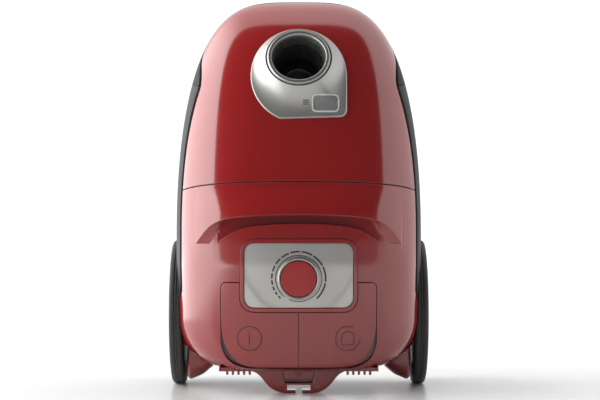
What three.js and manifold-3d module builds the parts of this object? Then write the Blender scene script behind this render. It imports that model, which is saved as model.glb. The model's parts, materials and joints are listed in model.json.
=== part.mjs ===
// Canister vacuum cleaner, parked upright on its tail and its two big wheels.
// Millimetres, +Z up, floor at z = 0. The control face looks toward -Y, the wheels and caster roll on +Y.
import * as THREE from "three";
import { mergeVertices } from "three/addons/utils/BufferGeometryUtils.js";
import { ParametricGeometry } from "three/addons/geometries/ParametricGeometry.js";
import Module from "manifold-3d";

const wasm = await Module();
wasm.setup();

// ---- Driving dimensions ----
const GAP = 0.4; // running and seating clearance between pieces
const SEAM = 0.8; // open joint between lid and rear shell
const WALL = 2.6; // shell wall
const BODY_HALF_W = 139; // half width of the body at its widest
const BODY_TOP = 439; // height of the nose above the floor
const BODY_BOTTOM = 26; // height of the rear end wall above the floor
const FRONT_DEPTH = 108; // from the middle plane to the control face
const BACK_DEPTH = 84; // from the middle plane to the underside
const WIDE_Z = 170; // height where the body is widest
const LID_Z = 190; // height where the lid begins to curve back
const CORNER_R = 56; // plan corner radius of the rear end
const SEAM_Z = 232.8; // height of the lid seam at the middle of the control face
const SEAM_SLOPE = 0.172; // how fast the seam falls toward the underside
const PANEL_EDGE_Y = -50; // edge of the red shells along the flanks
const NOSE_EDGE_Y = -8; // edge of the lid round the nose
const LOW_EDGE_Y = -20; // edge of the rear shell in front of the big wheels
const WHEEL_R = 83; // big wheel with its tyre
const WHEEL_IN = BODY_HALF_W - 8.6; // inner face of a big wheel
const WHEEL_W = 15.6; // tread width
const WELL_R = WHEEL_R + 3.4; // wheel arch
const AXLE_R = 5;
const AXLE_END = WHEEL_IN + 14; // outer end of a stub axle
const RECESS_HALF_W = 91.6; // finger recess under the hood
const FINGER_BACK_Y = -95;
const SILL_Z = 187.5; // where the control face meets the finger recess
const RECESS_FLOOR_Y = -76; // floor of the pedal bay
const BAY_GAP = 0.9;
const PEDAL_THICK = 4;
const PEDAL_THROW = 5.5; // clear depth behind a pedal's lower edge
const PEDAL_PIVOT_Y = -88;
const PEDAL_PIVOT_Z = 114;
const TRUNNION_END = 87.4; // blind end of the bores that the pedals' trunnions turn in
const SPRING_X = 45;
const SPRING_Z = 64;
const SPRING_R = 4.5;
const SPRING_WIRE = 1.4;
const SPRING_LENGTH = 18;
const PEDAL_TOP = 123;
const PEDAL_BOTTOM = 30.6;
const PEDAL_HALF_W = 84.5;
const PANEL_W = 119; // brushed control plate
const PANEL_Z0 = 95.8;
const PANEL_Z1 = 166.6;
const PANEL_R = 11;
const BEZEL = 4.2; // raised rim round the control plate
const POD_HALF_W = PANEL_W / 2 + BEZEL;
const KNOB_Z = 128;
const KNOB_R = 23.3;
const KNOB_CAP_R = 19.6;
const HOOD_HALF_W = 113;
const HOOD_TOP = 227.5;
const HOOD_LIP_Z = 197;
const HOOD_TIP_Z = 165;
const HOOD_OUT = 13; // how far the hood's lip stands out of the body
const HOOD_SKIN = 4; // thickness of the hood in front of the finger pocket
const FINGER_TOP = 207; // top of the finger recess
const WHEEL_Y = FRONT_DEPTH + HOOD_OUT - WHEEL_R; // wheel axle, toward the underside
const WELL_X = WHEEL_IN - 2; // flat face of the body behind a big wheel
const TYRE_IN = 62; // seat of the tyre on its hub
const INLET_Z = 366.6;
const INLET_Y = -84;
const INLET_TILT_DEG = 28.6;
const INLET_BORE_R = 27.5;
const INLET_RING_R = 35.6;
const SLEEVE_R = 21; // narrow step inside the inlet
const SURROUND_R = 53; // silver surround
const SURROUND_Z = 350;
const SURROUND_BASE_Z = 301;
const WINDOW_X0 = 15.5; // bag indicator window
const WINDOW_X1 = 42.9;
const WINDOW_Z0 = 310;
const WINDOW_Z1 = 327;
const COLLAR_H = -49; // bag collar, along the inlet axis
const HINGE_Y = -95.5;
const HINGE_Z = 240;
const HINGE_X = 45;
const LUG_OUT = 5.2; // lid lugs stand this far each side of a bulkhead ear
const PIN_R = 2.6;
const BULKHEAD_Z = 214;
const MOTOR_X = -60;
const MOTOR_Y = 6;
const MOTOR_R = 42;
const MOTOR_BASE_Z = 84;
const FAN_R = 55;
const FAN_BASE_Z = 166;
const REEL_X = 61;
const REEL_Z = 120;
const REEL_R = 52;
const REEL_HALF_W = 30;
const BRAKE_Y = -58;
const BRAKE_Z = 158;
const CASTER_Z = 352;
const CASTER_R = 17;
const CASTER_TRAIL = 12;
const CASTER_PLATE_Y = BACK_DEPTH - 7;
const CASTER_BOSS_IN = BACK_DEPTH - 28;
const BOSS_R = 21;
const CORD_X = 78;
const CORD_Y = 30;
const COVER_W = 88; // half width of the exhaust cover
const COVER_Y0 = -72;
const COVER_Y1 = 12;
const COVER_Z0 = 24;
const SCREW_SEAT_Y = BACK_DEPTH - 12;
const TAIL_Y1 = -50; // inner side of the tail bulge

// ---- Helpers: three.js shapes in, closed solids out ----
const TAU = Math.PI * 2;

function solid(geometry) {
  const g = geometry.clone();
  g.deleteAttribute("normal");
  g.deleteAttribute("uv");
  const m = mergeVertices(g, 1e-4);
  const triangles = [];
  for (let i = 0; i < m.index.count; i += 3) {
    const [a, b, c] = [0, 1, 2].map((k) => m.index.getX(i + k));
    if (a !== b && b !== c && a !== c) triangles.push(a, b, c);
  }
  const mesh = { numProp: 3, vertProperties: new Float32Array(m.attributes.position.array) };
  mesh.triVerts = new Uint32Array(triangles);
  return new wasm.Manifold(new wasm.Mesh(mesh));
}

function box(x0, x1, y0, y1, z0, z1) {
  const g = new THREE.BoxGeometry(x1 - x0, y1 - y0, z1 - z0);
  return solid(g.translate((x0 + x1) / 2, (y0 + y1) / 2, (z0 + z1) / 2));
}

// a profile of [radius, height] pairs turned about +Z
function turned(profile, sides = 24) {
  const points = profile.map(([r, h]) => new THREE.Vector2(r, h));
  return positive(new THREE.LatheGeometry(points, sides)).rotate(90, 0, 0);
}

function disc(r, h0, h1, sides = 24) {
  return turned([[0, h0], [r, h0], [r, h1], [0, h1]], sides);
}

function ring(r0, r1, h0, h1, sides = 24) {
  return turned([[r0, h0], [r1, h0], [r1, h1], [r0, h1], [r0, h0]], sides);
}

// turned solids are made along +Z, then laid along +X or -Y and moved
const alongX = (s, x = 0, y = 0, z = 0) => s.rotate(0, 90, 0).translate(x, y, z);
const alongFront = (s, x = 0, y = 0, z = 0) => s.rotate(90, 0, 0).translate(x, y, z);

function shapeOf(points) {
  return new THREE.Shape(points.map(([a, b]) => new THREE.Vector2(a, b)));
}

// an outline in the side view, (y, z) pairs, as thick as x0 to x1
function sideSlab(points, x0, x1) {
  const g = new THREE.ExtrudeGeometry(shapeOf(points), { depth: x1 - x0, bevelEnabled: false });
  return solid(g).rotate(90, 0, 90).translate(x0, 0, 0);
}

// an outline in the front view, a Shape in (x, z), as deep as y0 to y1
function frontSlab(shape, y0, y1, curveSegments = 5) {
  const g = new THREE.ExtrudeGeometry(shape, { depth: y1 - y0, bevelEnabled: false, curveSegments });
  return solid(g).rotate(90, 0, 0).translate(0, y1, 0);
}

function roundedRect(x0, x1, z0, z1, r) {
  const s = new THREE.Shape();
  s.moveTo(x0 + r, z0);
  s.lineTo(x1 - r, z0);
  s.absarc(x1 - r, z0 + r, r, -Math.PI / 2, 0);
  s.lineTo(x1, z1 - r);
  s.absarc(x1 - r, z1 - r, r, 0, Math.PI / 2);
  s.lineTo(x0 + r, z1);
  s.absarc(x0 + r, z1 - r, r, Math.PI / 2, Math.PI);
  s.lineTo(x0, z0 + r);
  s.absarc(x0 + r, z0 + r, r, Math.PI, Math.PI * 1.5);
  return s;
}

// ---- The body's outer form, one superellipse section at every height ----
const fall = (t, p, q) => Math.pow(Math.max(0, 1 - Math.pow(Math.max(0, t), p)), 1 / q);
const cornerLoss = (z, bottom, r) =>
  z < bottom + r ? r - Math.sqrt(Math.max(0, r * r - (bottom + r - z) ** 2)) : 0;

function halfWidth(z, inset) {
  const w = (BODY_HALF_W - inset) * fall((z - WIDE_Z) / (BODY_TOP - inset - WIDE_Z), 2.2, 3.6);
  return w - cornerLoss(z, BODY_BOTTOM + inset, CORNER_R);
}

function frontDepth(z, inset) {
  const lean = Math.max(0, 142 - z) * 0.08;
  const d = (FRONT_DEPTH - inset) * fall((z - LID_Z) / (BODY_TOP - inset - LID_Z), 2, 2);
  return d - lean - cornerLoss(z, BODY_BOTTOM + inset, 10);
}

function backDepth(z, inset) {
  const d = (BACK_DEPTH - inset) * fall((z - 150) / (BODY_TOP - inset - 150), 2.4, 2.4);
  return d - cornerLoss(z, BODY_BOTTOM + inset, 30);
}

// the front half bulges outward by hoodOut(z) for the carry hood
function sectionPoint(angle, z, inset, hoodOut) {
  const c = Math.cos(angle);
  const s = Math.sin(angle);
  const n = s < 0 ? 2.7 : 3.6;
  const r = Math.pow(Math.abs(c) ** n + Math.abs(s) ** n, -1 / n);
  const depth = s < 0 ? frontDepth(z, inset) + hoodOut(z) : backDepth(z, inset);
  return [r * halfWidth(z, inset) * c, r * depth * s];
}

function bodyForm(inset = 0, sides = 28, hoodOut = () => 0) {
  const bottom = BODY_BOTTOM + inset;
  const top = BODY_TOP - inset;
  const rungs = [5, 16, 34, 60, 100].map((rise) => BODY_BOTTOM + rise).concat(WIDE_Z, HOOD_LIP_Z);
  for (let i = 0; i < 8; i++) rungs.push(HOOD_TOP + (BODY_TOP - HOOD_TOP) * Math.sin((i / 8) * Math.PI / 2));
  const levels = [bottom, bottom, ...rungs.filter((z) => z > bottom + 1 && z < top - 1), top];
  const last = levels.length - 1;
  const form = new ParametricGeometry((u, v, target) => {
    const k = Math.round(v * last);
    const [x, y] = sectionPoint(u * TAU, levels[k], inset, hoodOut);
    const closed = k === 0 || k === last;
    target.set(closed ? 0 : x, closed ? 0 : y, levels[k]);
  }, sides, last);
  const made = solid(form);
  return made.volume() > 0 ? made : solid(flipped(form));
}

function flipped(geometry) {
  const g = geometry.clone();
  const a = g.index.array;
  for (let i = 0; i < a.length; i += 3) [a[i], a[i + 1]] = [a[i + 1], a[i]];
  return g;
}

// ---- Parting lines, drawn in the side view ----
const seamZ = (y) => SEAM_Z - SEAM_SLOPE * (y + FRONT_DEPTH - 3);

// the flank line is straight between rungs, so that every piece cut by it shares its corners
const RUNG = 12;
const rungY = (k) => {
  const up = THREE.MathUtils.smoothstep(k * RUNG, 336, 400);
  const down = 1 - THREE.MathUtils.smoothstep(k * RUNG, 84, 112);
  return PANEL_EDGE_Y + (NOSE_EDGE_Y - PANEL_EDGE_Y) * up + (LOW_EDGE_Y - PANEL_EDGE_Y) * down;
};

function flankY(z) {
  const k = Math.floor(z / RUNG);
  return THREE.MathUtils.lerp(rungY(k), rungY(k + 1), z / RUNG - k);
}

function flankLine(z0, z1, shift) {
  const points = [[flankY(z0) + shift, z0]];
  for (let k = Math.ceil(z0 / RUNG + 0.01); k * RUNG < z1 - 0.1; k++) {
    points.push([rungY(k) + shift, k * RUNG]);
  }
  return [...points, [flankY(z1) + shift, z1]];
}

const FAR = 200;
const seamAtFlank = seamZ(PANEL_EDGE_Y);
const lidRegion = () => sideSlab([
  [-FAR, seamZ(-FAR)], ...flankLine(seamAtFlank, BODY_TOP, 0), [NOSE_EDGE_Y, BODY_TOP + 9],
  [-FAR, BODY_TOP + 9],
], -FAR, FAR);
const rearRegion = () => sideSlab([
  [-FAR, 0], [flankY(0), 0], ...flankLine(BODY_BOTTOM, seamAtFlank - SEAM, 0), [-FAR, seamZ(-FAR) - SEAM],
], -FAR, FAR);
const tubRegion = () => sideSlab([
  [FAR, -20], [flankY(0) + GAP, -20], ...flankLine(BODY_BOTTOM, BODY_TOP, GAP),
  [NOSE_EDGE_Y + GAP, BODY_TOP + 9], [FAR, BODY_TOP + 9],
], -FAR, FAR);

const outer = bodyForm(0);
const hollow = bodyForm(WALL);

const bothSides = (s) => s.add(s.mirror([1, 0, 0]));
const wheelWells = (r, face) => bothSides(alongX(disc(r, face, FAR, 32), 0, WHEEL_Y, WHEEL_R));

// ---- Side panels, a thin dark skin let into each flank ----
function sidePanelOutline(grow) {
  const points = flankLine(118 - grow, 340 + grow, GAP - grow * 3);
  return [...points, [22 + grow, 352 + grow], [48 + grow, 300], [48 + grow, 118 - grow]];
}

const SKIN = 2.4;
const skinHollow = bodyForm(SKIN);
const panelHollow = bodyForm(SKIN + GAP);


function sidePanel(side) {
  const slab = sideSlab(sidePanelOutline(0), 60, FAR);
  const placed = side > 0 ? slab : slab.mirror([1, 0, 0]);
  return outer.intersect(placed.subtract(wheelWells(WELL_R + 4, 60))).subtract(skinHollow);
}

function sidePanelPocket() {
  const slab = bothSides(sideSlab(sidePanelOutline(GAP), 60, FAR));
  return bodyForm(-2).subtract(panelHollow).intersect(slab.subtract(wheelWells(WELL_R + 4 - GAP, 60)));
}

// ---- Lower shell: the dark tub that carries everything ----
function lowerShell() {
  const panelZone = bothSides(sideSlab(sidePanelOutline(3), 60, FAR));
  const padded = panelZone.subtract(bodyForm(SKIN + GAP + WALL));
  const cavity = hollow.subtract(padded).subtract(wheelWells(WELL_R + WALL, WELL_X - WALL));
  let tub = outer.intersect(tubRegion()).subtract(cavity).subtract(sidePanelPocket());
  tub = tub.subtract(wheelWells(WELL_R, WELL_X));
  tub = tub.subtract(wheelWells(AXLE_R + GAP, WELL_X - WALL - 8));
  // caster boss on the underside, and its bore
  const swivelRoom = alongFront(disc(BOSS_R, -FAR, -CASTER_PLATE_Y + GAP, 32), 0, 0, CASTER_Z);
  const boss = alongFront(disc(BOSS_R, -CASTER_PLATE_Y + GAP, -CASTER_BOSS_IN, 32), 0, 0, CASTER_Z);
  tub = tub.subtract(swivelRoom).add(boss);
  tub = tub.subtract(alongFront(disc(6 + GAP, -FAR, 0, 24), 0, 0, CASTER_Z));
  // parking slot for the floor tool on the underside
  tub = tub.add(box(-17, 17, BACK_DEPTH - 22, BACK_DEPTH - 0.6, 232, 268));
  tub = tub.subtract(box(-12, 12, BACK_DEPTH - 12, FAR, 236, 275));
  // cord outlet hole and rear cover opening in the end wall
  tub = tub.subtract(disc(9 + GAP, 0, 60, 24).translate(CORD_X, CORD_Y, 0));
  tub = tub.subtract(box(-COVER_W - GAP, COVER_W + GAP, COVER_Y0, COVER_Y1 + GAP, 0, BODY_BOTTOM + 12));
  for (const place of SCREWS) {
    tub = tub.add(screwBoss(place).intersect(bodyForm(1))).subtract(screwBore(place));
  }
  // latch slot in the nose
  tub = tub.subtract(box(-15 - GAP, 15 + GAP, 6 - GAP, 18 + GAP, BODY_TOP - 21, FAR * 4));
  return tub;
}

// ---- Rear shell: red, with finger recess, pedal bay and carry hood ----
function hoodBulge(z) {
  const up = THREE.MathUtils.clamp((HOOD_TOP - z) / (HOOD_TOP - HOOD_LIP_Z), 0, 1);
  return HOOD_OUT * Math.sin((up * Math.PI) / 2);
}

// a closed outline from right to left along one curve and back along another, mirrored about x = 0
function mirroredOutline(rightHalf) {
  const left = rightHalf.slice(0, -1).reverse().map(([x, z]) => [-x, z]);
  const points = rightHalf.concat(left).map(([x, z]) => new THREE.Vector2(x, z));
  return new THREE.SplineCurve(points).getPoints(22);
}

// lower edge of the hood: a low arch with its feet at the hood's two tips
const lipLine = (inset) => mirroredOutline([
  [HOOD_HALF_W - inset, HOOD_TIP_Z], [HOOD_HALF_W - 16 - inset, HOOD_LIP_Z - 13],
  [78 - inset * 0.3, HOOD_LIP_Z - 4.6], [44, HOOD_LIP_Z - 1], [0, HOOD_LIP_Z],
]);

function hoodOutline() {
  const corner = (x) => new THREE.Vector2(x, HOOD_TOP + 4);
  return new THREE.Shape([...lipLine(0), corner(-HOOD_HALF_W), corner(HOOD_HALF_W)]);
}

// mouth of the finger recess, a crescent between the lip and the control face
function recessMouth(lift) {
  const feet = [RECESS_HALF_W, HOOD_TIP_Z];
  const sill = mirroredOutline([feet, [66, SILL_Z - 6.5], [34, SILL_Z - 1.2], [0, SILL_Z]]);
  const lip = lipLine(HOOD_HALF_W - RECESS_HALF_W).map((p) => p.clone().setY(p.y + lift));
  return new THREE.Shape([...lip, ...sill.reverse()]);
}

function pedalBay() {
  const w = PEDAL_HALF_W + BAY_GAP;
  const s = new THREE.Shape();
  s.moveTo(-48, BODY_BOTTOM + WALL);
  s.lineTo(48, BODY_BOTTOM + WALL);
  s.bezierCurveTo(70, BODY_BOTTOM + WALL, w, 38, w, 62);
  s.lineTo(w, PEDAL_TOP + BAY_GAP - 8);
  s.quadraticCurveTo(w, PEDAL_TOP + BAY_GAP, w - 8, PEDAL_TOP + BAY_GAP);
  s.lineTo(8 - w, PEDAL_TOP + BAY_GAP);
  s.quadraticCurveTo(-w, PEDAL_TOP + BAY_GAP, -w, PEDAL_TOP + BAY_GAP - 8);
  s.lineTo(-w, 62);
  s.bezierCurveTo(-w, 38, -70, BODY_BOTTOM + WALL, -48, BODY_BOTTOM + WALL);
  return s;
}

// space that the lid's lower edge turns in, wider toward the middle where the edge stands further out
function lidSwing() {
  const profile = [];
  for (let i = -7; i <= 7; i++) {
    const x = (i * (PEDAL_HALF_W + 1)) / 7;
    const y = -frontDepth(SEAM_Z, 0) * Math.pow(1 - (Math.abs(x) / halfWidth(SEAM_Z, 0)) ** 2.7, 1 / 2.7);
    profile.push([Math.hypot(y - HINGE_Y, seamZ(y) - HINGE_Z) + GAP / 2, x]);
  }
  const ends = profile.map(([, x]) => x);
  return alongX(turned([[0, ends[0]], ...profile, [0, ends.at(-1)]], 32), 0, HINGE_Y, HINGE_Z);
}

function rearShell() {
  const hood = bodyForm(0, 28, hoodBulge).intersect(frontSlab(hoodOutline(), -FAR, -60));
  const form = outer.add(hood).intersect(rearRegion());
  const half = RECESS_HALF_W + WALL + 4;
  const pod = POD_HALF_W + WALL;
  const cavity = hollow
    .subtract(box(-half, half, -FAR, RECESS_FLOOR_Y + WALL, 0, PEDAL_TOP + 6))
    .subtract(box(-half, half, -FAR, FINGER_BACK_Y + WALL, HOOD_TIP_Z - WALL, FINGER_TOP + WALL))
    .subtract(box(-pod, pod, -FAR, RECESS_FLOOR_Y + WALL, 0, PANEL_Z1 + BEZEL + WALL))
    .subtract(wheelWells(WELL_R + WALL, WELL_X - WALL));
  return form
    .subtract(cavity)
    .subtract(frontSlab(recessMouth(0), -FAR, FINGER_BACK_Y))
    .subtract(frontSlab(recessMouth(FINGER_TOP - HOOD_LIP_Z), -FAR, FINGER_BACK_Y)
      .intersect(bodyForm(HOOD_SKIN, 28, hoodBulge)))
    .subtract(frontSlab(pedalBay(), -FAR, RECESS_FLOOR_Y))
    .subtract(frontSlab(podOutline(BEZEL + GAP), -FAR, RECESS_FLOOR_Y))
    .subtract(wheelWells(WELL_R, WELL_X))
    .subtract(alongX(disc(2.2 + GAP, -TRUNNION_END, TRUNNION_END, 16), 0, PEDAL_PIVOT_Y, PEDAL_PIVOT_Z))
    .subtract(lidSwing())
    .subtract(box(-COVER_W - GAP, COVER_W + GAP, COVER_Y0 - GAP, 0, 0, BODY_BOTTOM + 4));
}

// ---- Control pod: raised red rim, brushed plate, knob ----
const podOutline = (grow) => roundedRect(
  -PANEL_W / 2 - grow, PANEL_W / 2 + grow, PANEL_Z0 - grow, PANEL_Z1 + grow, PANEL_R + grow);
const knobHole = () => alongFront(disc(4 + GAP, 60, FAR, 24), 0, 0, KNOB_Z);

function controlBezel() {
  const pod = bodyForm(-1.6).intersect(frontSlab(podOutline(BEZEL), -FAR, RECESS_FLOOR_Y - GAP));
  const seat = frontSlab(podOutline(0), -FAR, 0).subtract(bodyForm(1 + GAP));
  const back = frontSlab(podOutline(BEZEL - WALL), -FRONT_DEPTH + 6, 0);
  return pod.subtract(seat).subtract(back).subtract(knobHole());
}

function controlPlate() {
  const skin = bodyForm(-0.4).intersect(frontSlab(podOutline(-GAP), -FAR, 0));
  return skin.subtract(bodyForm(1)).subtract(knobHole());
}

function knobRing() {
  const profile = [
    [0, -14], [4, -14], [4, 0.9], [KNOB_R, 0.9], [KNOB_R - 0.3, 7.6], [KNOB_R - 1.6, 9],
    [KNOB_CAP_R + 0.6, 8.4], [KNOB_CAP_R + GAP, 3], [0, 3],
  ];
  return alongFront(turned(profile, 28), 0, -FRONT_DEPTH, KNOB_Z);
}

function knobCap() {
  const profile = [[0, 3.4], [KNOB_CAP_R, 3.4], [KNOB_CAP_R, 7.8], [KNOB_CAP_R - 0.8, 8.4], [0, 8.9]];
  return alongFront(turned(profile, 28), 0, -FRONT_DEPTH, KNOB_Z);
}

// ---- Pedals: two L-shaped skins below and beside the plate ----
function pedalOutline(side) {
  const inner = PANEL_W / 2 + BEZEL + 0.8;
  const s = new THREE.Shape();
  s.moveTo(side * 0.6, PEDAL_BOTTOM);
  s.lineTo(side * 48, PEDAL_BOTTOM);
  s.bezierCurveTo(side * 68, PEDAL_BOTTOM + 1, side * PEDAL_HALF_W, 46, side * PEDAL_HALF_W, 82);
  s.lineTo(side * PEDAL_HALF_W, PEDAL_TOP - 7);
  s.quadraticCurveTo(side * PEDAL_HALF_W, PEDAL_TOP, side * (PEDAL_HALF_W - 7), PEDAL_TOP);
  s.lineTo(side * inner, PEDAL_TOP);
  s.lineTo(side * inner, PANEL_Z0 + PANEL_R);
  s.absarc(side * (PANEL_W / 2 - PANEL_R), PANEL_Z0 + PANEL_R, PANEL_R + BEZEL + 0.8,
    side > 0 ? 0 : Math.PI, -Math.PI / 2, side > 0);
  s.lineTo(side * 0.6, PANEL_Z0 - BEZEL - 0.8);
  return s;
}

function pedal(side) {
  const slab = frontSlab(pedalOutline(side), -FAR, RECESS_FLOOR_Y - PEDAL_THROW);
  const skin = outer.subtract(bodyForm(PEDAL_THICK)).intersect(slab);
  const trunnion = alongX(disc(2.2, 80.4, TRUNNION_END - 0.8, 16).mirror([0, 0, side > 0 ? 0 : 1]),
    0, PEDAL_PIVOT_Y, PEDAL_PIVOT_Z);
  const lug = box(side > 0 ? 80.4 : -84.2, side > 0 ? 84.2 : -80.4,
    -97, PEDAL_PIVOT_Y + 2, PEDAL_PIVOT_Z - 3, PEDAL_PIVOT_Z + 3);
  return skin.add(trunnion).add(lug.intersect(bodyForm(1)));
}

function pedalSpring(side) {
  const y0 = RECESS_FLOOR_Y - GAP - SPRING_WIRE / 2;
  const length = SPRING_LENGTH - SPRING_WIRE;
  const turns = 3;
  class Helix extends THREE.Curve {
    getPoint(t, target = new THREE.Vector3()) {
      const a = t * turns * TAU;
      return target.set(SPRING_R * Math.cos(a), y0 - t * length, SPRING_R * Math.sin(a));
    }
  }
  const wire = new THREE.Shape().absarc(0, 0, SPRING_WIRE / 2, 0, TAU);
  const options = { steps: turns * 8, extrudePath: new Helix(), curveSegments: 3 };
  const g = new THREE.ExtrudeGeometry(wire, options);
  return positive(g).translate(side * SPRING_X, 0, SPRING_Z);
}

function positive(geometry) {
  const made = solid(geometry);
  return made.volume() > 0 ? made : solid(flipped(geometry));
}

function powerSwitch() {
  const body = box(-38, -20, RECESS_FLOOR_Y - 12, RECESS_FLOOR_Y - GAP, 60, 84);
  return body.add(box(-33, -25, RECESS_FLOOR_Y - 16, RECESS_FLOOR_Y - 11, 66, 78));
}

// ---- Lid with the hose inlet ----
const alongInlet = (s) => s.rotate(90 - INLET_TILT_DEG, 0, 0).translate(0, INLET_Y, INLET_Z);

function lid() {
  const skin = outer.subtract(hollow).intersect(lidRegion());
  let made = skin.subtract(alongInlet(disc(INLET_RING_R + GAP, -60, 60, 28)));
  made = made.subtract(frontSlab(windowOutline(1), -FAR, -60));
  for (const x of [-HINGE_X, HINGE_X]) {
    for (const shift of [-LUG_OUT, LUG_OUT]) made = made.add(hingeLug(x + shift));
  }
  made = made.subtract(heelRelief());
  const strike = box(-8, 8, -14, -10, BODY_TOP - 14, BODY_TOP - 3);
  return made.add(strike.intersect(bodyForm(0.5)));
}

// the lid's lower corners are rounded about the hinge, so they clear the side panels
function heelRelief() {
  const reach = PANEL_EDGE_Y - HINGE_Y;
  const corner = box(-FAR, FAR, PANEL_EDGE_Y - 12, PANEL_EDGE_Y + 12, 0, HINGE_Z);
  return corner.subtract(alongX(disc(reach, -FAR, FAR, 96), 0, HINGE_Y, HINGE_Z));
}

function hingeLug(x) {
  const plate = sideSlab([
    [HINGE_Y - 3, HINGE_Z - 3.4], [HINGE_Y + 3.4, HINGE_Z - 3.4], [HINGE_Y + 4.2, HINGE_Z + 2],
    [HINGE_Y - 2, HINGE_Z + 16], [HINGE_Y - 8, HINGE_Z + 18], [HINGE_Y - 8, HINGE_Z + 4],
  ], x - 2, x + 2);
  const bore = alongX(disc(PIN_R + GAP * 0.5, x - 4, x + 4, 20), 0, HINGE_Y, HINGE_Z);
  return plate.intersect(bodyForm(1)).subtract(bore);
}

function hingePin(x) {
  return alongX(disc(PIN_R, x - 8, x + 8, 20), 0, HINGE_Y, HINGE_Z);
}

// silver surround: a disc-like skin on the lid, squared off at its lower right corner
function surroundOutline() {
  const s = new THREE.Shape();
  const r = SURROUND_R;
  const z = SURROUND_Z;
  const base = SURROUND_BASE_Z;
  const start = Math.PI + Math.asin((z - base) / r);
  s.moveTo(r * Math.cos(start), base);
  s.lineTo(r - 9, base + 2);
  s.quadraticCurveTo(r, base + 2, r, base + 11);
  s.lineTo(r, z);
  s.absarc(0, z, r, 0, start);
  return s;
}
const windowOutline = (grow) => roundedRect(
  WINDOW_X0 - grow, WINDOW_X1 + grow, WINDOW_Z0 - grow, WINDOW_Z1 + grow, 4 + grow);

function inletSurround() {
  const slab = frontSlab(surroundOutline(), -FAR, -40, 10);
  const collar = alongInlet(turned([[0, -20], [SURROUND_R - 3, -20], [SURROUND_R - 3, -6],
    [INLET_RING_R + 4, 3.5], [INLET_RING_R + 1, 5], [0, 5]], 28));
  const skin = bodyForm(-3.2).add(collar).intersect(slab).subtract(bodyForm(-GAP));
  const bore = alongInlet(disc(INLET_RING_R + GAP, -60, 60, 28));
  return skin.subtract(bore).subtract(frontSlab(windowOutline(GAP), -FAR, -40));
}

function inletRing() {
  return alongInlet(turned([
    [INLET_BORE_R, -14], [INLET_RING_R, -14], [INLET_RING_R, 4], [INLET_RING_R - 1.6, 7.4],
    [INLET_RING_R - 4.4, 8.4], [INLET_BORE_R + 1.4, 7], [INLET_BORE_R, 4.4], [INLET_BORE_R, -14],
  ], 28));
}

function inletSleeve() {
  return alongInlet(turned([
    [SLEEVE_R, -46], [SLEEVE_R + 2.6, -46], [SLEEVE_R + 2.6, -18], [INLET_RING_R - 2, -18],
    [INLET_RING_R - 2, -14 - GAP], [SLEEVE_R, -14 - GAP], [SLEEVE_R, -46],
  ], 24));
}

const hoseSeal = () => alongInlet(ring(SLEEVE_R - 4, SLEEVE_R - GAP, -44, -39, 24));

function indicatorLens() {
  const slab = frontSlab(windowOutline(-0.1), -FAR, -60);
  const socket = alongInlet(disc(INLET_RING_R + GAP, -60, 60, 28));
  return bodyForm(-3.4).subtract(bodyForm(-1.2)).intersect(slab).subtract(socket);
}

const TRAY_Y = 14 - frontDepth((WINDOW_Z0 + WINDOW_Z1) / 2, 0); // back of the indicator tray
function indicatorTray() {
  const back = TRAY_Y;
  const tray = box(WINDOW_X0 - 3, WINDOW_X1 + 3, -FAR, back, WINDOW_Z0 - 4, WINDOW_Z1 + 3);
  const inside = box(WINDOW_X0 - 1, WINDOW_X1 + 1, -FAR, back - 2, WINDOW_Z0 - 2, WINDOW_Z1 + 2);
  const socket = alongInlet(disc(INLET_RING_R, -60, 60, 28));
  return tray.subtract(inside).intersect(bodyForm(WALL + GAP)).subtract(socket);
}

function indicatorFlag() {
  const x0 = WINDOW_X0;
  const y = TRAY_Y - 4;
  const z1 = WINDOW_Z1 - 1;
  let flag = box(x0, x0 + 10, y - 3.8, y, WINDOW_Z0, z1);
  for (const x of [x0 + 2, x0 + 5, x0 + 8]) flag = flag.add(box(x, x + 1, y - 4.6, y - 3, WINDOW_Z0, z1));
  return flag.subtract(alongInlet(disc(INLET_RING_R + GAP, -60, 60, 28)));
}

// ---- Lid latch in the nose ----
function lidLatch() {
  const z = BODY_TOP - 19;
  const button = box(-15, 15, 6, 18, z, BODY_TOP + 9).intersect(bodyForm(-0.4));
  return button.add(box(-5, 5, -13.5, 7, z, z + 3.4));
}

// ---- Bag chamber: bulkhead, filter, bag ----
const FILTER = { x0: -107, x1: -13, y0: -41, y1: 49 };

function bulkhead() {
  const plate = bodyForm(6.4).intersect(box(-FAR, FAR, -FAR, FAR, BULKHEAD_Z, BULKHEAD_Z + 3));
  let made = plate.subtract(box(FILTER.x0 + 4, FILTER.x1 - 4, FILTER.y0 + 4, FILTER.y1 - 4, 0, FAR * 2));
  for (const x of [-HINGE_X, HINGE_X]) {
    const ear = sideSlab([
      [HINGE_Y - 3.6, HINGE_Z], [HINGE_Y - 2, HINGE_Z + 3.4], [HINGE_Y + 2, HINGE_Z + 4.4],
      [HINGE_Y + 14, HINGE_Z + 4.4], [HINGE_Y + 20, BULKHEAD_Z + 8], [HINGE_Y + 20, BULKHEAD_Z + 1],
      [HINGE_Y + 10, BULKHEAD_Z + 1], [HINGE_Y + 11, HINGE_Z - 9], [HINGE_Y + 4, HINGE_Z - 3.6],
      [HINGE_Y, HINGE_Z - 3.8],
    ], x - 2.6, x + 2.6);
    made = made.add(ear).subtract(alongX(disc(PIN_R + GAP * 0.5, x - 4, x + 4, 20), 0, HINGE_Y, HINGE_Z));
  }
  return made;
}

const z0Filter = BULKHEAD_Z + 3 + GAP;
const foamFilter = () => box(FILTER.x0, FILTER.x1, FILTER.y0, FILTER.y1, z0Filter, z0Filter + 12);

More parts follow.
